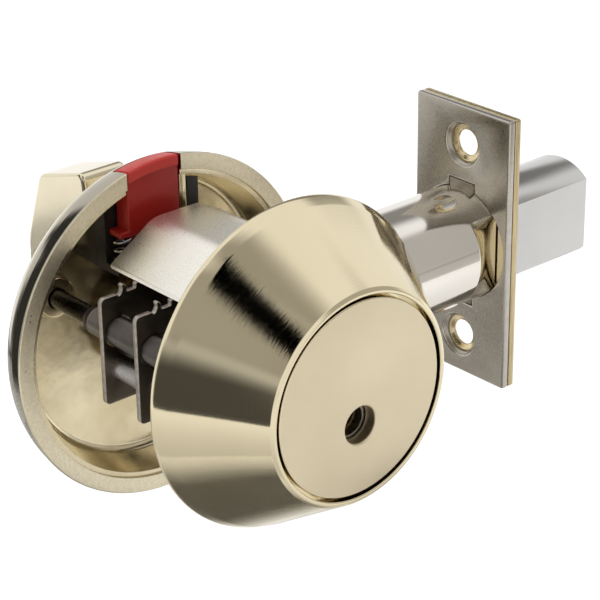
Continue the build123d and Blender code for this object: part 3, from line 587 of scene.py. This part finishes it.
case_steel, tree, shader = finish_of("case_steel", 1.0, 0.4)
marks = place(tree, tool_marks, {"Scale": 700.0, "Stretch": (0.4, 1.0, 3.0)})
wear = place(tree, edge_wear)
grain = marks.outputs["Grain"]
face = tone(tree, marks.outputs["Cloud"], (0.15, 0.125, 0.1), (0.25, 0.215, 0.175), 0.3, 0.7)
base = mixed(tree, wear.outputs["Bright"], face, (0.46, 0.42, 0.37, 1))
coat(tree, shader, base, spread(tree, grain, 0.28, 0.45, 0.3, 0.7), grain, 0.15)
for end, near_face in (("near", -5.6), ("far", 4.5)):
    far_face = near_face + case_sheet
    skin, worn = slab(case_outline, case_holes, near_face, far_face, facing_y, 0.12, 0.12)
    stands_for = ["case_plate_" + end]
    piece("case_side_" + end, [skin], "lock_body", case_steel, stands_for, worn=worn)

# Guard hood.
# Galvanised sheet bent over the crank, with the sparkle of its zinc grain.
# Its two eaves rest on the ledges of the case plates, between their hooks.
hood_eave = 16.1
hood_low = 13.4
hood_bend = 5.6
hood_top = 20.1
hood_sheet = 0.9
hood_front = -14.2
hood_back = 13.5
hood_round = 1.3
hood_bend_radius = 6.0
hood_inner_radius = 5.1
hood_lean = math.atan2(hood_top - hood_low, hood_eave - hood_bend)
hood_inset = hood_sheet / math.sin(hood_lean)
hood_inner_bend = hood_bend + hood_sheet / math.tan(hood_lean) - hood_inset
# Points stand close together near the eaves, whose corners are rounded off further down
near_eave = [0.1, 0.25, 0.5, 0.8, 1.1, 1.4]
rise = [(s * math.cos(hood_lean), hood_low + s * math.sin(hood_lean)) for s in near_eave]
hood_outline = rounded(
    [(-hood_eave, hood_low)]
    + [(run - hood_eave, height) for run, height in rise]
    + [(side * hood_bend, hood_top, hood_bend_radius) for side in (-1, 1)]
    + [(hood_eave - run, height) for run, height in reversed(rise)]
    + [(hood_eave, hood_low), (hood_eave - hood_inset, hood_low)]
    + [(hood_eave - hood_inset - run, height) for run, height in rise]
    + [(side * hood_inner_bend, hood_top - hood_sheet, hood_inner_radius) for side in (1, -1)]
    + [(run - hood_eave + hood_inset, height) for run, height in reversed(rise)]
    + [(hood_inset - hood_eave, hood_low)],
    12,
)


def hood_point(across, height, depth):
    """Point of the hood, with the corners of its eaves rounded off."""
    up = min(hood_round, max(0.0, (height - hood_low) / math.sin(hood_lean)))
    cut = hood_round - math.sqrt(hood_round**2 - (hood_round - up) ** 2)
    return (across, min(hood_back - cut, max(hood_front + cut, depth)), height)


hood_zinc, tree, shader = finish_of("hood_zinc", 1.0, 0.4)
cells = put(tree, "ShaderNodeTexVoronoi", {"Vector": object_place(tree), "Scale": 4200.0})
marks = place(tree, tool_marks, {"Scale": 3200.0})
speck = math_of(tree, "ADD", cells.outputs["Distance"], marks.outputs["Grain"])
base = tone(tree, speck, (0.76, 0.73, 0.66), (0.95, 0.92, 0.84), 0.5, 1.1)
coat(tree, shader, base, spread(tree, speck, 0.24, 0.38, 0.5, 1.1), speck, 0.35, 0.00006)
skin = slab(hood_outline, [], hood_front, hood_back, hood_point, 0.25, 0.25)[0]
piece("bent_hood", [skin], "lock_body", hood_zinc, ["guard_hood"], sharp=40)

# Bolt.
# A round bar milled flat on two sides, satin plated, with a chamfered nose.
# It slides in the tube and comes out through the faceplate.
bolt_radius = 10.4
bolt_flat = 7.2
bolt_nose = 90.1
bolt_heel = 56.7


def flat_sided(radius, flat, steps=48):
    """Circle cut flat on both Y sides."""
    reach = math.acos(flat / radius)
    points = []
    for side in (1, -1):
        for step in range(steps + 1):
            turn = reach + (math.pi - 2 * reach) * step / steps
            points.append(Vector((radius * math.cos(turn) * side, radius * math.sin(turn) * side)))
    return points


bolt_steel = plain_metal(
    "bolt_steel",
    (0.54, 0.53, 0.515),
    (0.58, 0.57, 0.555),
    0.13,
    0.18,
    2200.0,
    (0.3, 1.0, 1.0),
    bump=0.04,
    deep=0.00004,
)
bar = flat_sided(bolt_radius, bolt_flat)
skin = slab(bar, [], bolt_heel, bolt_nose, facing_x, 0.2, 0.8)[0]
piece("bolt_bar", [skin], "bolt_slide", bolt_steel, ["bolt"], sharp=28)

# Tube round the bolt.
# Drawn steel under bright nickel, pressed flat on both sides where it meets the back plate,
# with a locating dimple on top. It is riveted into the back plate.
tube_radius = 11.7
tube_wall = 1.0
tube_rear = 21.0
tube_front = 61.9
tube_segments = 288
flat_start = 54.5
flat_run = 4.6
flat_half = 8.4
bend_part = 0.16
bend_rate = 11.5
dimple_at = (53.4, math.radians(82))
dimple_half = (3.1, 0.14)
dimple_depth = 0.3


def tube_point(x, turn, shrink):
    """Point on the tube's skin; turn 0 faces out of the door and a quarter turn is the top."""
    radius = tube_radius
    # The flats start with a short bend and then ease out to their full depth
    press = min(1.0, max(0.0, (x - flat_start) / flat_run))
    press = 1 - (1 - press) ** 2 if press > bend_part else press * press * bend_rate
    radius += (min(radius, flat_half / max(abs(math.cos(turn)), 0.2)) - radius) * press
    off = math.hypot((x - dimple_at[0]) / dimple_half[0], (turn - dimple_at[1]) / dimple_half[1])
    if off < 1:
        radius -= dimple_depth * (1 + math.cos(math.pi * off)) / 2
    radius -= shrink
    return (x, -radius * math.cos(turn), radius * math.sin(turn))


# Rings along the tube, closest together where it is dimpled and pressed flat
tube_stations = [tube_rear, tube_rear + 0.15, tube_rear + 0.3]
tube_stations += [22.0 + 2.0 * step for step in range(14)]
tube_stations += [49.8 + 0.3 * step for step in range(37)]
tube_stations += [61.2, 61.6, tube_front]
tube_turns = [2 * math.pi * (step / tube_segments - 0.25) for step in range(tube_segments)]
verts = []
skin_rows = [(x, 0.0) for x in tube_stations] + [(x, tube_wall) for x in reversed(tube_stations)]
for x, shrink in skin_rows:
    verts += [tube_point(x, turn, shrink) for turn in tube_turns]
sleeve = (verts, woven(len(skin_rows), tube_segments, closed=True))
nickel, tree, shader = finish_of("nickel", 1.0, 0.1)
marks = place(tree, tool_marks, {"Scale": 600.0, "Stretch": (0.15, 1.0, 1.0)})
cloud = marks.outputs["Cloud"]
base = tone(tree, cloud, (0.79, 0.75, 0.68), (0.85, 0.815, 0.755), 0.3, 0.7)
coat(tree, shader, base, spread(tree, marks.outputs["Grain"], 0.06, 0.13, 0.3, 0.7), cloud, 0.04)
piece("bolt_sleeve", [sleeve], "lock_body", nickel, ["bolt_tube"], sharp=40)

tab_half = 3.4
tab_foot = 10.8
tab_tip = 13.0
tab_back = 60.54
tab_front = 62.06
# The tabs are coloured a darker brown than the nickel tube.
tab_steel = plain_metal("tab_steel", (0.2, 0.165, 0.125), (0.32, 0.28, 0.23), 0.25, 0.4, 900.0)
skins = []
for side in (1, -1):
    tab = rounded(
        [
            (-tab_half, tab_foot * side),
            (tab_half, tab_foot * side),
            (tab_half, tab_tip * side, 0.4),
            (-tab_half, tab_tip * side, 0.4),
        ]
    )
    skins.append(slab(tab, [], tab_back, tab_front, facing_x, 0.3, 0.1)[0])
piece("tube_tabs", skins, "lock_body", tab_steel, sharp=40)

# Back plate and faceplate.
# A stamped steel plate under satin nickel, and over it a trim plate of polished brass with
# sheared edges. Both are holed for the bolt and for two countersunk screws in the door's edge.
plate_half = 12.7
plate_tall = 28.575
plate_corner = 0.5
plate_outline = rounded(
    [
        (-plate_half, -plate_tall, plate_corner),
        (plate_half, -plate_tall, plate_corner),
        (plate_half, plate_tall, plate_corner),
        (-plate_half, plate_tall, plate_corner),
    ]
)
screw_height = 20.65
back_face = 60.5
trim_face = 62.1
front_face = 63.7
plate_gap = 0.1
slot_half = 3.52
slot_end = 13.1
hole_radius = 11.74
hole_steps = 32
round_part = math.asin(slot_half / hole_radius)
tube_hole = []
for side in (1, -1):
    spoke = hole_radius * side
    for step in range(hole_steps + 1):
        turn = -math.pi / 2 + round_part + (math.pi - 2 * round_part) * step / hole_steps
        tube_hole.append(Vector((spoke * math.cos(turn), spoke * math.sin(turn))))
    tube_hole += [Vector((x * side, slot_end * side)) for x in (slot_half, -slot_half)]


def screw_cup(outline, side):
    """Ring about X at the upper or the lower screw."""
    verts, faces = turned(about(outline), 64)
    return [(y, x, z + side * screw_height) for x, y, z in verts], faces


def holed_plate(name, finish, stands_for, plate, cup):
    """Plate whose two screw holes are lined with a cup each."""
    skin, worn = plate
    cups = [screw_cup(cup, side) for side in (1, -1)]
    worn += [0.0] * sum(len(verts) for verts, faces in cups)
    piece(name, [skin] + cups, "lock_body", finish, stands_for, worn=worn)


plate_nickel, tree, shader = finish_of("plate_nickel", 1.0, 0.3)
marks = place(tree, tool_marks, {"Scale": 1600.0})
wear = place(tree, edge_wear)
grain = marks.outputs["Grain"]
bright = wear.outputs["Bright"]
face = tone(tree, marks.outputs["Cloud"], (0.4, 0.365, 0.31), (0.43, 0.395, 0.34), 0.3, 0.7)
base = mixed(tree, bright, face, (0.5, 0.47, 0.42, 1))
satin = spread(tree, grain, 0.26, 0.31, 0.3, 0.7)
coat(tree, shader, base, mixed(tree, bright, satin, 0.16), grain, 0.02)
rim_radius = 4.4
dish_radius = 4.42
dish_front = 61.68
dish = rounded(
    [(dish_radius, 60.86), (3.95, 61.3, 0.5), (3.8, dish_front), (dish_radius, dish_front)]
)
holes = [tube_hole] + [ring_of(rim_radius, (0, side * screw_height), 64) for side in (1, -1)]
plate = slab(plate_outline, holes, back_face, trim_face - plate_gap, facing_x, 0.4, 0.2)
holed_plate("nickel_plate", plate_nickel, ["face_backplate"], plate, dish)

plate_brass, tree, shader = finish_of("plate_brass", 1.0, 0.2)
marks = place(tree, tool_marks, {"Scale": 1300.0, "Stretch": (2.5, 1.0, 0.12)})
grain = marks.outputs["Grain"]
sheared = put(tree, "ShaderNodeAttribute", attribute_name="worn_edge").outputs["Fac"]
sheet = tone(tree, marks.outputs["Cloud"], (0.68, 0.56, 0.33), (0.78, 0.66, 0.42), 0.3, 0.7)
cut_edge = tone(tree, grain, (0.44, 0.35, 0.19), (0.6, 0.5, 0.3), 0.35, 0.65)
base = mixed(tree, sheared, sheet, cut_edge)
coat(tree, shader, base, spread(tree, grain, 0.14, 0.3, 0.3, 0.7), grain, 0.2, 0.00008)
bolt_play = 0.3
screw_hole = 2.6
cup_radius = 4.6
cup_back = 61.72
cup = rounded(
    [
        (cup_radius, front_face),
        (screw_hole, 62.6, 0.2),
        (screw_hole, 62.1, 0.3),
        (3.6, cup_back, 0.6),
        (cup_radius, cup_back),
    ]
)
holes = [flat_sided(bolt_radius + bolt_play, bolt_flat + bolt_play)]
holes += [ring_of(cup_radius, (0, side * screw_height)) for side in (1, -1)]
plate = slab(plate_outline, holes, trim_face + plate_gap, front_face, facing_x, 0.25, 0.3)
holed_plate("brass_plate", plate_brass, ["faceplate"], plate, cup)

# Rose on the inside of the door.
# A brass casting: a cup with a flat cast rim, uneven inside, polished outside, and a painted dark
# reflection on its outer wall near the rim.
# The button's notch and rib, and the bosses for the two screws, are cast in.
rim_front = 17.5
rim_step = 18.0
rim_inner = 30.9
rose_back = 28.0
cup_floor = 25.0
bush_hole = 7.8
rose_outline = rounded(
    [
        (bush_hole, rose_back),
        (28.7, rose_back, 2.0),
        (33.1, 22.8, 6.0),
        (33.7, 20.3, 0.5),
        (34.2, rim_front, 0.3),
        (rim_inner, rim_front, 0.15),
        (rim_inner, rim_step),
        (29.9, rim_step, 0.15),
        (28.0, cup_floor, 1.6),
        (bush_hole, cup_floor),
    ]
)
cast_brass, tree, shader = finish_of("cast_brass", 1.0, 0.3)
where = object_place(tree)
depth = put(tree, "ShaderNodeSeparateXYZ", {0: where}).outputs["Y"]
brush = place(tree, brushing, {"Axis Height": key_height * mm, "Along": 20.0, "Across": 1500.0})
marks = place(tree, tool_marks, {"Scale": 300.0})
inputs = {"Vector": where, "Scale": 1900.0, "Detail": 2.0}
fine = put(tree, "ShaderNodeTexNoise", inputs).outputs["Fac"]
pits = put(tree, "ShaderNodeTexVoronoi", {"Vector": where, "Scale": 620.0, "Randomness": 1.0})
behind_rim = spread(tree, depth, 0.0, 1.0, 0.01755, 0.01775)
wide_out = spread(tree, brush.outputs["Radius"], 0.0, 1.0, 0.0311, 0.0313)
wall = math_of(tree, "MINIMUM", behind_rim, wide_out)
outside = math_of(tree, "MAXIMUM", wall, spread(tree, depth, 0.0, 1.0, 0.0253, 0.0256))
rim = spread(tree, depth, 1.0, 0.0, 0.0176, 0.0181)
rim = math_of(tree, "MULTIPLY", rim, math_of(tree, "SUBTRACT", 1.0, outside))
pit = spread(tree, pits.outputs["Distance"], 1.0, 0.0, 0.05, 0.16)
pit = math_of(tree, "MULTIPLY", pit, spread(tree, brush.outputs["Cloud"], 0.0, 1.0, 0.54, 0.62))
pit = math_of(tree, "MULTIPLY", pit, rim)
cup_tone = tone(tree, marks.outputs["Cloud"], (0.68, 0.57, 0.35), (0.9, 0.8, 0.56), 0.3, 0.7)
rim_tone = tone(tree, fine, (0.88, 0.79, 0.58), (0.97, 0.89, 0.69), 0.35, 0.65)
casting = mixed(tree, rim, cup_tone, rim_tone)
casting = mixed(tree, pit, casting, (0.16, 0.1, 0.05, 1))
casting = mixed(tree, outside, casting, (0.82, 0.75, 0.58, 1))
# The front of the outer wall, next to the rim, is painted darker: a painted dark reflection.
edge = math_of(tree, "MULTIPLY", wall, spread(tree, depth, 1.0, 0.0, 0.0212, 0.0236))
base = mixed(tree, edge, casting, (0.42, 0.385, 0.31, 1))
smooth = spread(tree, marks.outputs["Grain"], 0.14, 0.26, 0.3, 0.7)
rough = mixed(tree, outside, mixed(tree, rim, smooth, 0.42), 0.1)
sand = math_of(tree, "MULTIPLY", math_of(tree, "MULTIPLY", fine, 0.25), rim)
sand = math_of(tree, "SUBTRACT", sand, pit)
wave_height = math_of(tree, "SUBTRACT", 3.0, math_of(tree, "MULTIPLY", outside, 3.0))
wavy = math_of(tree, "MULTIPLY", marks.outputs["Cloud"], wave_height)
coat(tree, shader, base, rough, math_of(tree, "ADD", sand, wavy), 0.18, 0.0003)


def box_skin(low, high):
    """Plain block between two corners."""
    (x0, y0, z0), (x1, y1, z1) = low, high
    verts = [(x, y, z) for x in (x0, x1) for y in (y0, y1) for z in (z0, z1)]
    faces = [(0, 1, 3, 2), (4, 6, 7, 5), (0, 4, 5, 1), (2, 3, 7, 6), (0, 2, 6, 4), (1, 5, 7, 3)]
    return verts, faces


def cut_away(body_piece, skins):
    """Cut closed skins out of a piece."""
    for verts, faces in skins:
        mesh = bpy.data.meshes.new("cutter")
        mesh.from_pydata([Vector(v) * mm for v in verts], [], faces)
        work = bmesh.new()
        work.from_mesh(mesh)
        bmesh.ops.remove_doubles(work, verts=work.verts, dist=1e-7)
        bmesh.ops.recalc_face_normals(work, faces=work.faces)
        work.to_mesh(mesh)
        work.free()
        cutter = bpy.data.objects.new("cutter", mesh)
        bpy.context.scene.collection.objects.link(cutter)
        cut = body_piece.modifiers.new("notch", "BOOLEAN")
        cut.operation = "DIFFERENCE"
        cut.solver = "EXACT"
        cut.object = cutter
        bpy.context.view_layer.update()
        graph = bpy.context.evaluated_depsgraph_get()
        done = bpy.data.meshes.new_from_object(body_piece.evaluated_get(graph))
        body_piece.modifiers.clear()
        body_piece.data = done
        bpy.data.objects.remove(cutter)


rose = piece(
    "cast_rose",
    [turned(about(rose_outline, key_height), 320)],
    "lock_body",
    cast_brass,
    ["inner_rose"],
    sharp=30,
)
button_notch = ((-8.0, 17.2, 22.3), (4.5, 22.0, 32.0))
shank_hole = 2.1
head_hole = 3.9
head_seat = 25.4
sink_front = 22.0
sink_back = 29.0
boss_front = 23.4
boss_foot = 25.3
rib_front = 18.2
sink = [
    (0.0, sink_front),
    (shank_hole, sink_front),
    (shank_hole, head_seat),
    (head_hole, head_seat),
    (head_hole, sink_back),
    (0.0, sink_back),
]
cut_away(rose, [box_skin(*button_notch)] + [turned_at(sink, x, z) for x, z in post_places])
boss = rounded(
    [(shank_hole, boss_front), (4.0, boss_front, 0.5), (4.2, boss_foot), (shank_hole, boss_foot)]
)
boss_skins = [turned_at(boss, x, z) for x, z in post_places]
rib = [(4.5, 12.6), (6.1, 12.6), (6.1, 24.8), (4.5, 24.8)]
boss_skins.append(slab(rib, [], rib_front, boss_foot, facing_y, 0.25, 0.05)[0])
piece("rose_bosses", boss_skins, "lock_body", cast_brass)

# Thumbturn.
# A polished brass casting clamped on the spindle by a grub screw.
turn_brass = plain_metal(
    "turn_brass", (0.76, 0.68, 0.5), (0.8, 0.72, 0.54), 0.11, 0.15, 900.0, (1.0, 1.0, 0.6), 0.02
)
dress(turn_brass, "thumbturn")

# Button in the rose's rim, its black guide and its spring.
# The button is moulded in red plastic, its cap shaped like the rim, and slides in the guide.
# A coil spring of steel wire pushes it up again.
red_plastic, tree, shader = finish_of("red_plastic", 0.0, 0.38)
marks = place(tree, tool_marks, {"Scale": 700.0})
grain = marks.outputs["Grain"]
split = put(tree, "ShaderNodeSeparateXYZ", {0: object_place(tree)})
# The cap is coloured a brighter red and the body a darker red: painted light on the cap's front
# and top faces, painted shade on the body down in the cup.
deep = tone(tree, marks.outputs["Cloud"], (0.4, 0.012, 0.008), (0.46, 0.018, 0.011), 0.3, 0.7)
clear = tone(tree, marks.outputs["Cloud"], (0.64, 0.035, 0.022), (0.7, 0.045, 0.03), 0.3, 0.7)
painted_lit_cap = spread(tree, split.outputs["Y"], 1.0, 0.0, 0.0177, 0.0179)
painted_lit_cap = math_of(tree, "MAXIMUM", painted_lit_cap, spread(tree, split.outputs["Z"], 0.0, 1.0, 0.0262, 0.027))
base = mixed(tree, painted_lit_cap, deep, clear)
coat(tree, shader, base, spread(tree, grain, 0.3, 0.45, 0.3, 0.7), grain, 0.08, 0.0001)


def capped(rows, count):
    """Faces between rows of points, with both ends closed."""
    ends = [tuple(row * count + at for at in range(count)) for row in (0, rows - 1)]
    return woven(rows, count) + ends


button_left = -7.7
button_right = 4.2
body_left = -5.8
body_top = 27.4
body_low = 12.6
foot_left = -9.6
foot_top = 16.4
foot_low = 15.2
stem_half = 2.0
stem_low = 6.3
body_front = 18.0
body_back = 21.65
cap_under = 31.9
cap_back = 21.7
cap_chamfer = 0.4
cap_rows = 24
cap_section = rounded(
    [
        (cap_under, rim_front, 0.3),
        (34.15, rim_front, 0.5),
        (33.65, 20.3),
        (33.4, cap_back, 0.4),
        (cap_under, cap_back),
    ]
)
verts = []
for row in range(cap_rows + 1):
    part = row / cap_rows
    x = button_left + (button_right - button_left) * part
    squeeze = cap_chamfer if row in (0, cap_rows) else 0.0
    if row in (1, cap_rows - 1):
        x = button_left + cap_chamfer if row == 1 else button_right - cap_chamfer
    for point in shifted(cap_section, -squeeze):
        verts.append((x, point.y, key_height + math.sqrt(point.x**2 - x**2)))
cap_skin = (verts, capped(cap_rows + 1, len(cap_section)))
button_body = rounded(
    [
        (button_right, body_top),
        (button_left, body_top),
        (button_left, foot_top, 0.2),
        (foot_left, foot_top, 0.3),
        (foot_left, foot_low, 0.3),
        (body_left, foot_low, 0.2),
        (body_left, body_low, 0.4),
        (-stem_half, body_low, 0.2),
        (-stem_half, stem_low, 0.4),
        (stem_half, stem_low, 0.4),
        (stem_half, body_low, 0.2),
        (button_right, body_low, 0.4),
    ],
    4,
)
body_skin = slab(button_body, [], body_front, body_back, facing_y, 0.35, 0.2)[0]
skins = [cap_skin, body_skin]
piece("red_button", skins, "button", red_plastic, ["lock_button"])

black_plastic, tree, shader = finish_of("black_plastic", 0.0, 0.4)
marks = place(tree, tool_marks, {"Scale": 900.0})
base = tone(tree, marks.outputs["Cloud"], (0.008, 0.007, 0.006), (0.022, 0.019, 0.016), 0.3, 0.7)
coat(tree, shader, base, spread(tree, marks.outputs["Grain"], 0.3, 0.5, 0.3, 0.7))
dress(black_plastic, "button_guide")

coil_centre = (-8.0, 19.85)
coil_turns = 3
coil_radius = 1.6
wire_radius = 0.25
coil_low = 9.93
coil_high = 14.95
coil_steps = 48 * coil_turns
wire_sides = 12
climb = (coil_high - coil_low) / (2 * math.pi * coil_turns)
verts = []
for step in range(coil_steps + 1):
    turn = 2 * math.pi * coil_turns * step / coil_steps
    outward = Vector((math.cos(turn), math.sin(turn), 0))
    along = Vector((-coil_radius * math.sin(turn), coil_radius * math.cos(turn), climb))
    upward = outward.cross(along.normalized())
    centre = Vector((*coil_centre, coil_low + climb * turn)) + outward * coil_radius
    for side in range(wire_sides):
        lean = 2 * math.pi * side / wire_sides
        verts.append(centre + (outward * math.cos(lean) + upward * math.sin(lean)) * wire_radius)
coil = piece(
    "button_coil",
    [(verts, capped(coil_steps + 1, wire_sides))],
    "lock_body",
    spring_steel,
    ["button_spring"],
    sharp=50,
)
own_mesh(coil)

# Studio.
# A pale floor, white surroundings and two large soft lamps, and grey and dark flags that only
# reflections see, as a product photographer stands them round bright metal.
floor_height = -0.09
floor_half = 4
shade_lift = 0.002


def flat_card(name, corners, material):
    """Stage sheet with these corners in metres."""
    mesh = bpy.data.meshes.new(name)
    mesh.from_pydata([Vector(c) for c in corners], [], [(0, 1, 2, 3)])
    sheet = mesh.uv_layers.new(name="sheet")
    for corner, place_on in enumerate(((0, 0), (1, 0), (1, 1), (0, 1))):
        sheet.data[corner].uv = place_on
    mesh.materials.append(material)
    card = bpy.data.objects.new(name, mesh)
    bpy.context.scene.collection.objects.link(card)
    return card


def seen_directly(tree):
    """One for what the camera, mirrors and glass see, none for the light itself."""
    path = put(tree, "ShaderNodeLightPath")
    seen = math_of(tree, "MAXIMUM", path.outputs["Is Camera Ray"], path.outputs["Is Glossy Ray"])
    return math_of(tree, "MAXIMUM", seen, path.outputs["Is Transmission Ray"])


floor_paint = bpy.data.materials.new("floor_paper")
floor_paint.use_nodes = True
tree = floor_paint.node_tree
shader = tree.nodes["Principled BSDF"]
shader.inputs["Base Color"].default_value = (0.9, 0.9, 0.9, 1)
shader.inputs["Roughness"].default_value = 0.9
shader.inputs["Specular IOR Level"].default_value = 0.0
inputs = {"Color": (1, 1, 1, 1), "Strength": spread(tree, seen_directly(tree), 0.0, 0.42)}
lift = put(tree, "ShaderNodeEmission", inputs)
both = put(tree, "ShaderNodeAddShader", {0: shader.outputs[0], 1: lift.outputs[0]})
tree.links.new(both.outputs[0], tree.nodes["Material Output"].inputs["Surface"])
corner_signs = ((-1, -1), (1, -1), (1, 1), (-1, 1))
corners = [(a * floor_half, b * floor_half, floor_height) for a, b in corner_signs]
flat_card("floor", corners, floor_paint)

world = bpy.data.worlds.new("studio_white")
bpy.context.scene.world = world
world.use_nodes = True
tree = world.node_tree
ground = tree.nodes["Background"]
tree.links.new(spread(tree, seen_directly(tree), 0.5, 1.0), ground.inputs["Strength"])
ground.inputs["Color"].default_value = (1, 1, 1, 1)


def directions(azimuth, elevation):
    """Ways out from the lock, across and up; azimuth 0 is out of the door, 90 along +X."""
    a, e = math.radians(azimuth), math.radians(elevation)
    out = Vector((math.sin(a) * math.cos(e), -math.cos(a) * math.cos(e), math.sin(e)))
    across = Vector((math.cos(a), math.sin(a), 0))
    return out, across, out.cross(across)


def flag(name, level, azimuth, elevation, distance, wide, tall, soft):
    """Card square to a direction, of a grey level and with feathered edges."""
    material = bpy.data.materials.new(name)
    material.use_nodes = True
    tree = material.node_tree
    split = put(tree, "ShaderNodeSeparateXYZ", {0: put(tree, "ShaderNodeTexCoord").outputs["UV"]})
    fade = None
    for axis in ("X", "Y"):
        off = math_of(tree, "ABSOLUTE", math_of(tree, "SUBTRACT", split.outputs[axis], 0.5))
        part = spread(tree, off, 1.0, 0.0, 0.5 - soft, 0.5)
        part.node.interpolation_type = "SMOOTHSTEP"
        fade = part if fade is None else math_of(tree, "MULTIPLY", fade, part)
    clear = put(tree, "ShaderNodeBsdfTransparent")
    grey = (level, level * 0.97, level * 0.92, 1)
    glow = put(tree, "ShaderNodeEmission", {"Color": grey, "Strength": 1.0})
    mix = put(tree, "ShaderNodeMixShader", {0: fade, 1: clear.outputs[0], 2: glow.outputs[0]})
    tree.links.new(mix.outputs[0], tree.nodes["Material Output"].inputs["Surface"])
    out, across, rise = directions(azimuth, elevation)
    corners = []
    for a, b in corner_signs:
        corners.append(out * distance + across * (a * wide / 2) + rise * (b * tall / 2))
    card = flat_card(name, corners, material)
    card.visible_camera = False
    card.visible_diffuse = False
    card.visible_shadow = False
    card.visible_transmission = False
    return card


# Each flag: name, grey level, azimuth, elevation, distance, width, height, feathered part
for card in (
    ("grey_left", 0.42, -62, 42, 1.2, 1.5, 1.3, 0.2),
    ("grey_top", 0.4, -40, 74, 1.0, 0.8, 0.8, 0.35),
    ("dark_left", 0.08, -80, -5, 0.28, 0.46, 0.34, 0.36),
    ("black_strip", 0.0, -52, 53, 0.8, 0.125, 0.62, 0.03),
    ("grey_right", 0.5, 42, 22, 0.5, 0.66, 0.8, 0.22),
    ("grey_low", 0.55, 36, -8, 0.4, 0.6, 0.24, 0.45),
    ("dark_line", 0.12, 40, 0, 0.44, 0.6, 0.02, 0.3),
    ("grey_back", 0.28, 128, 33, 0.5, 0.6, 0.36, 0.3),
    ("dark_back", 0.12, 142, -21, 0.19, 0.26, 0.06, 0.25),
    ("dark_rose", 0.06, -139.1, 2.9, 0.0795, 0.036, 0.1, 0.2),
    ("dark_rim", 0.06, -154.6, 28.7, 0.0938, 0.045, 0.045, 0.25),
    ("dark_under", 0.03, 41, -37, 0.069, 0.06, 0.022, 0.4),
):
    flag(*card)


# The shades over the floor are painted shadow, standing where the lock's shadow on the floor would
# be.
def floor_shade(name, level, x, y, wide, deep, soft):
    """Dark card just over the floor that only reflections see: a painted shadow of the lock on the
    floor.
    """
    card = flag(name, level, 0, -90, -floor_height - shade_lift, wide, deep, soft)
    card.location = (x, y, 0)


# Each shade: name, grey level, x, y, width, depth, feathered part
for shade in (
    ("shade_behind", 0.05, 0.02, 0.16, 0.32, 0.26, 0.25),
    ("shade_below", 0.6, -0.034, -0.02, 0.5, 0.5, 0.5),
    ("dark_below", 0.02, -0.028, -0.016, 0.14, 0.13, 0.35),
    ("shade_turn", 0.12, -0.12, 0.1685, 0.06, 0.157, 0.06),
):
    floor_shade(*shade)


def softbox(name, azimuth, elevation, distance, size, power):
    """Area lamp aimed at the lock."""
    out = directions(azimuth, elevation)[0]
    lamp = bpy.data.lights.new(name, "AREA")
    lamp.shape = "SQUARE"
    lamp.size = size
    lamp.energy = power
    made = bpy.data.objects.new(name, lamp)
    bpy.context.scene.collection.objects.link(made)
    made.location = out * distance
    made.rotation_mode = "QUATERNION"
    made.rotation_quaternion = out.to_track_quat("Z", "Y")
    made.visible_glossy = False


softbox("top_softbox", 95, 48, 1.3, 1.2, 4.6)
softbox("back_softbox", -165, 50, 1.3, 0.9, 2.8)

# Camera.
# It stands where the photograph was taken from, as found by fitting a camera to the lock's
# outlines, with the lens given by the picture's width and a focal length in pixels.
picture_width = 600
focal_length = 2162.029
camera_distance = 0.396153
camera_right = 0.013504
camera_up = 0.005675
roll = math.radians(-0.79)
back, across, rise = directions(-40.924, 25.083)
right = math.cos(roll) * across + math.sin(roll) * rise
up = math.cos(roll) * rise - math.sin(roll) * across
lens = bpy.data.cameras.new("camera")
lens.sensor_width = 36
lens.lens = focal_length / picture_width * lens.sensor_width
lens.clip_start = 0.01
camera = bpy.data.objects.new("camera", lens)
bpy.context.scene.collection.objects.link(camera)
stand = Matrix((right, up, back)).transposed().to_4x4()
stand.translation = back * camera_distance + right * camera_right + up * camera_up
camera.matrix_world = stand
bpy.context.scene.camera = camera
bpy.context.scene.view_settings.view_transform = "Standard"
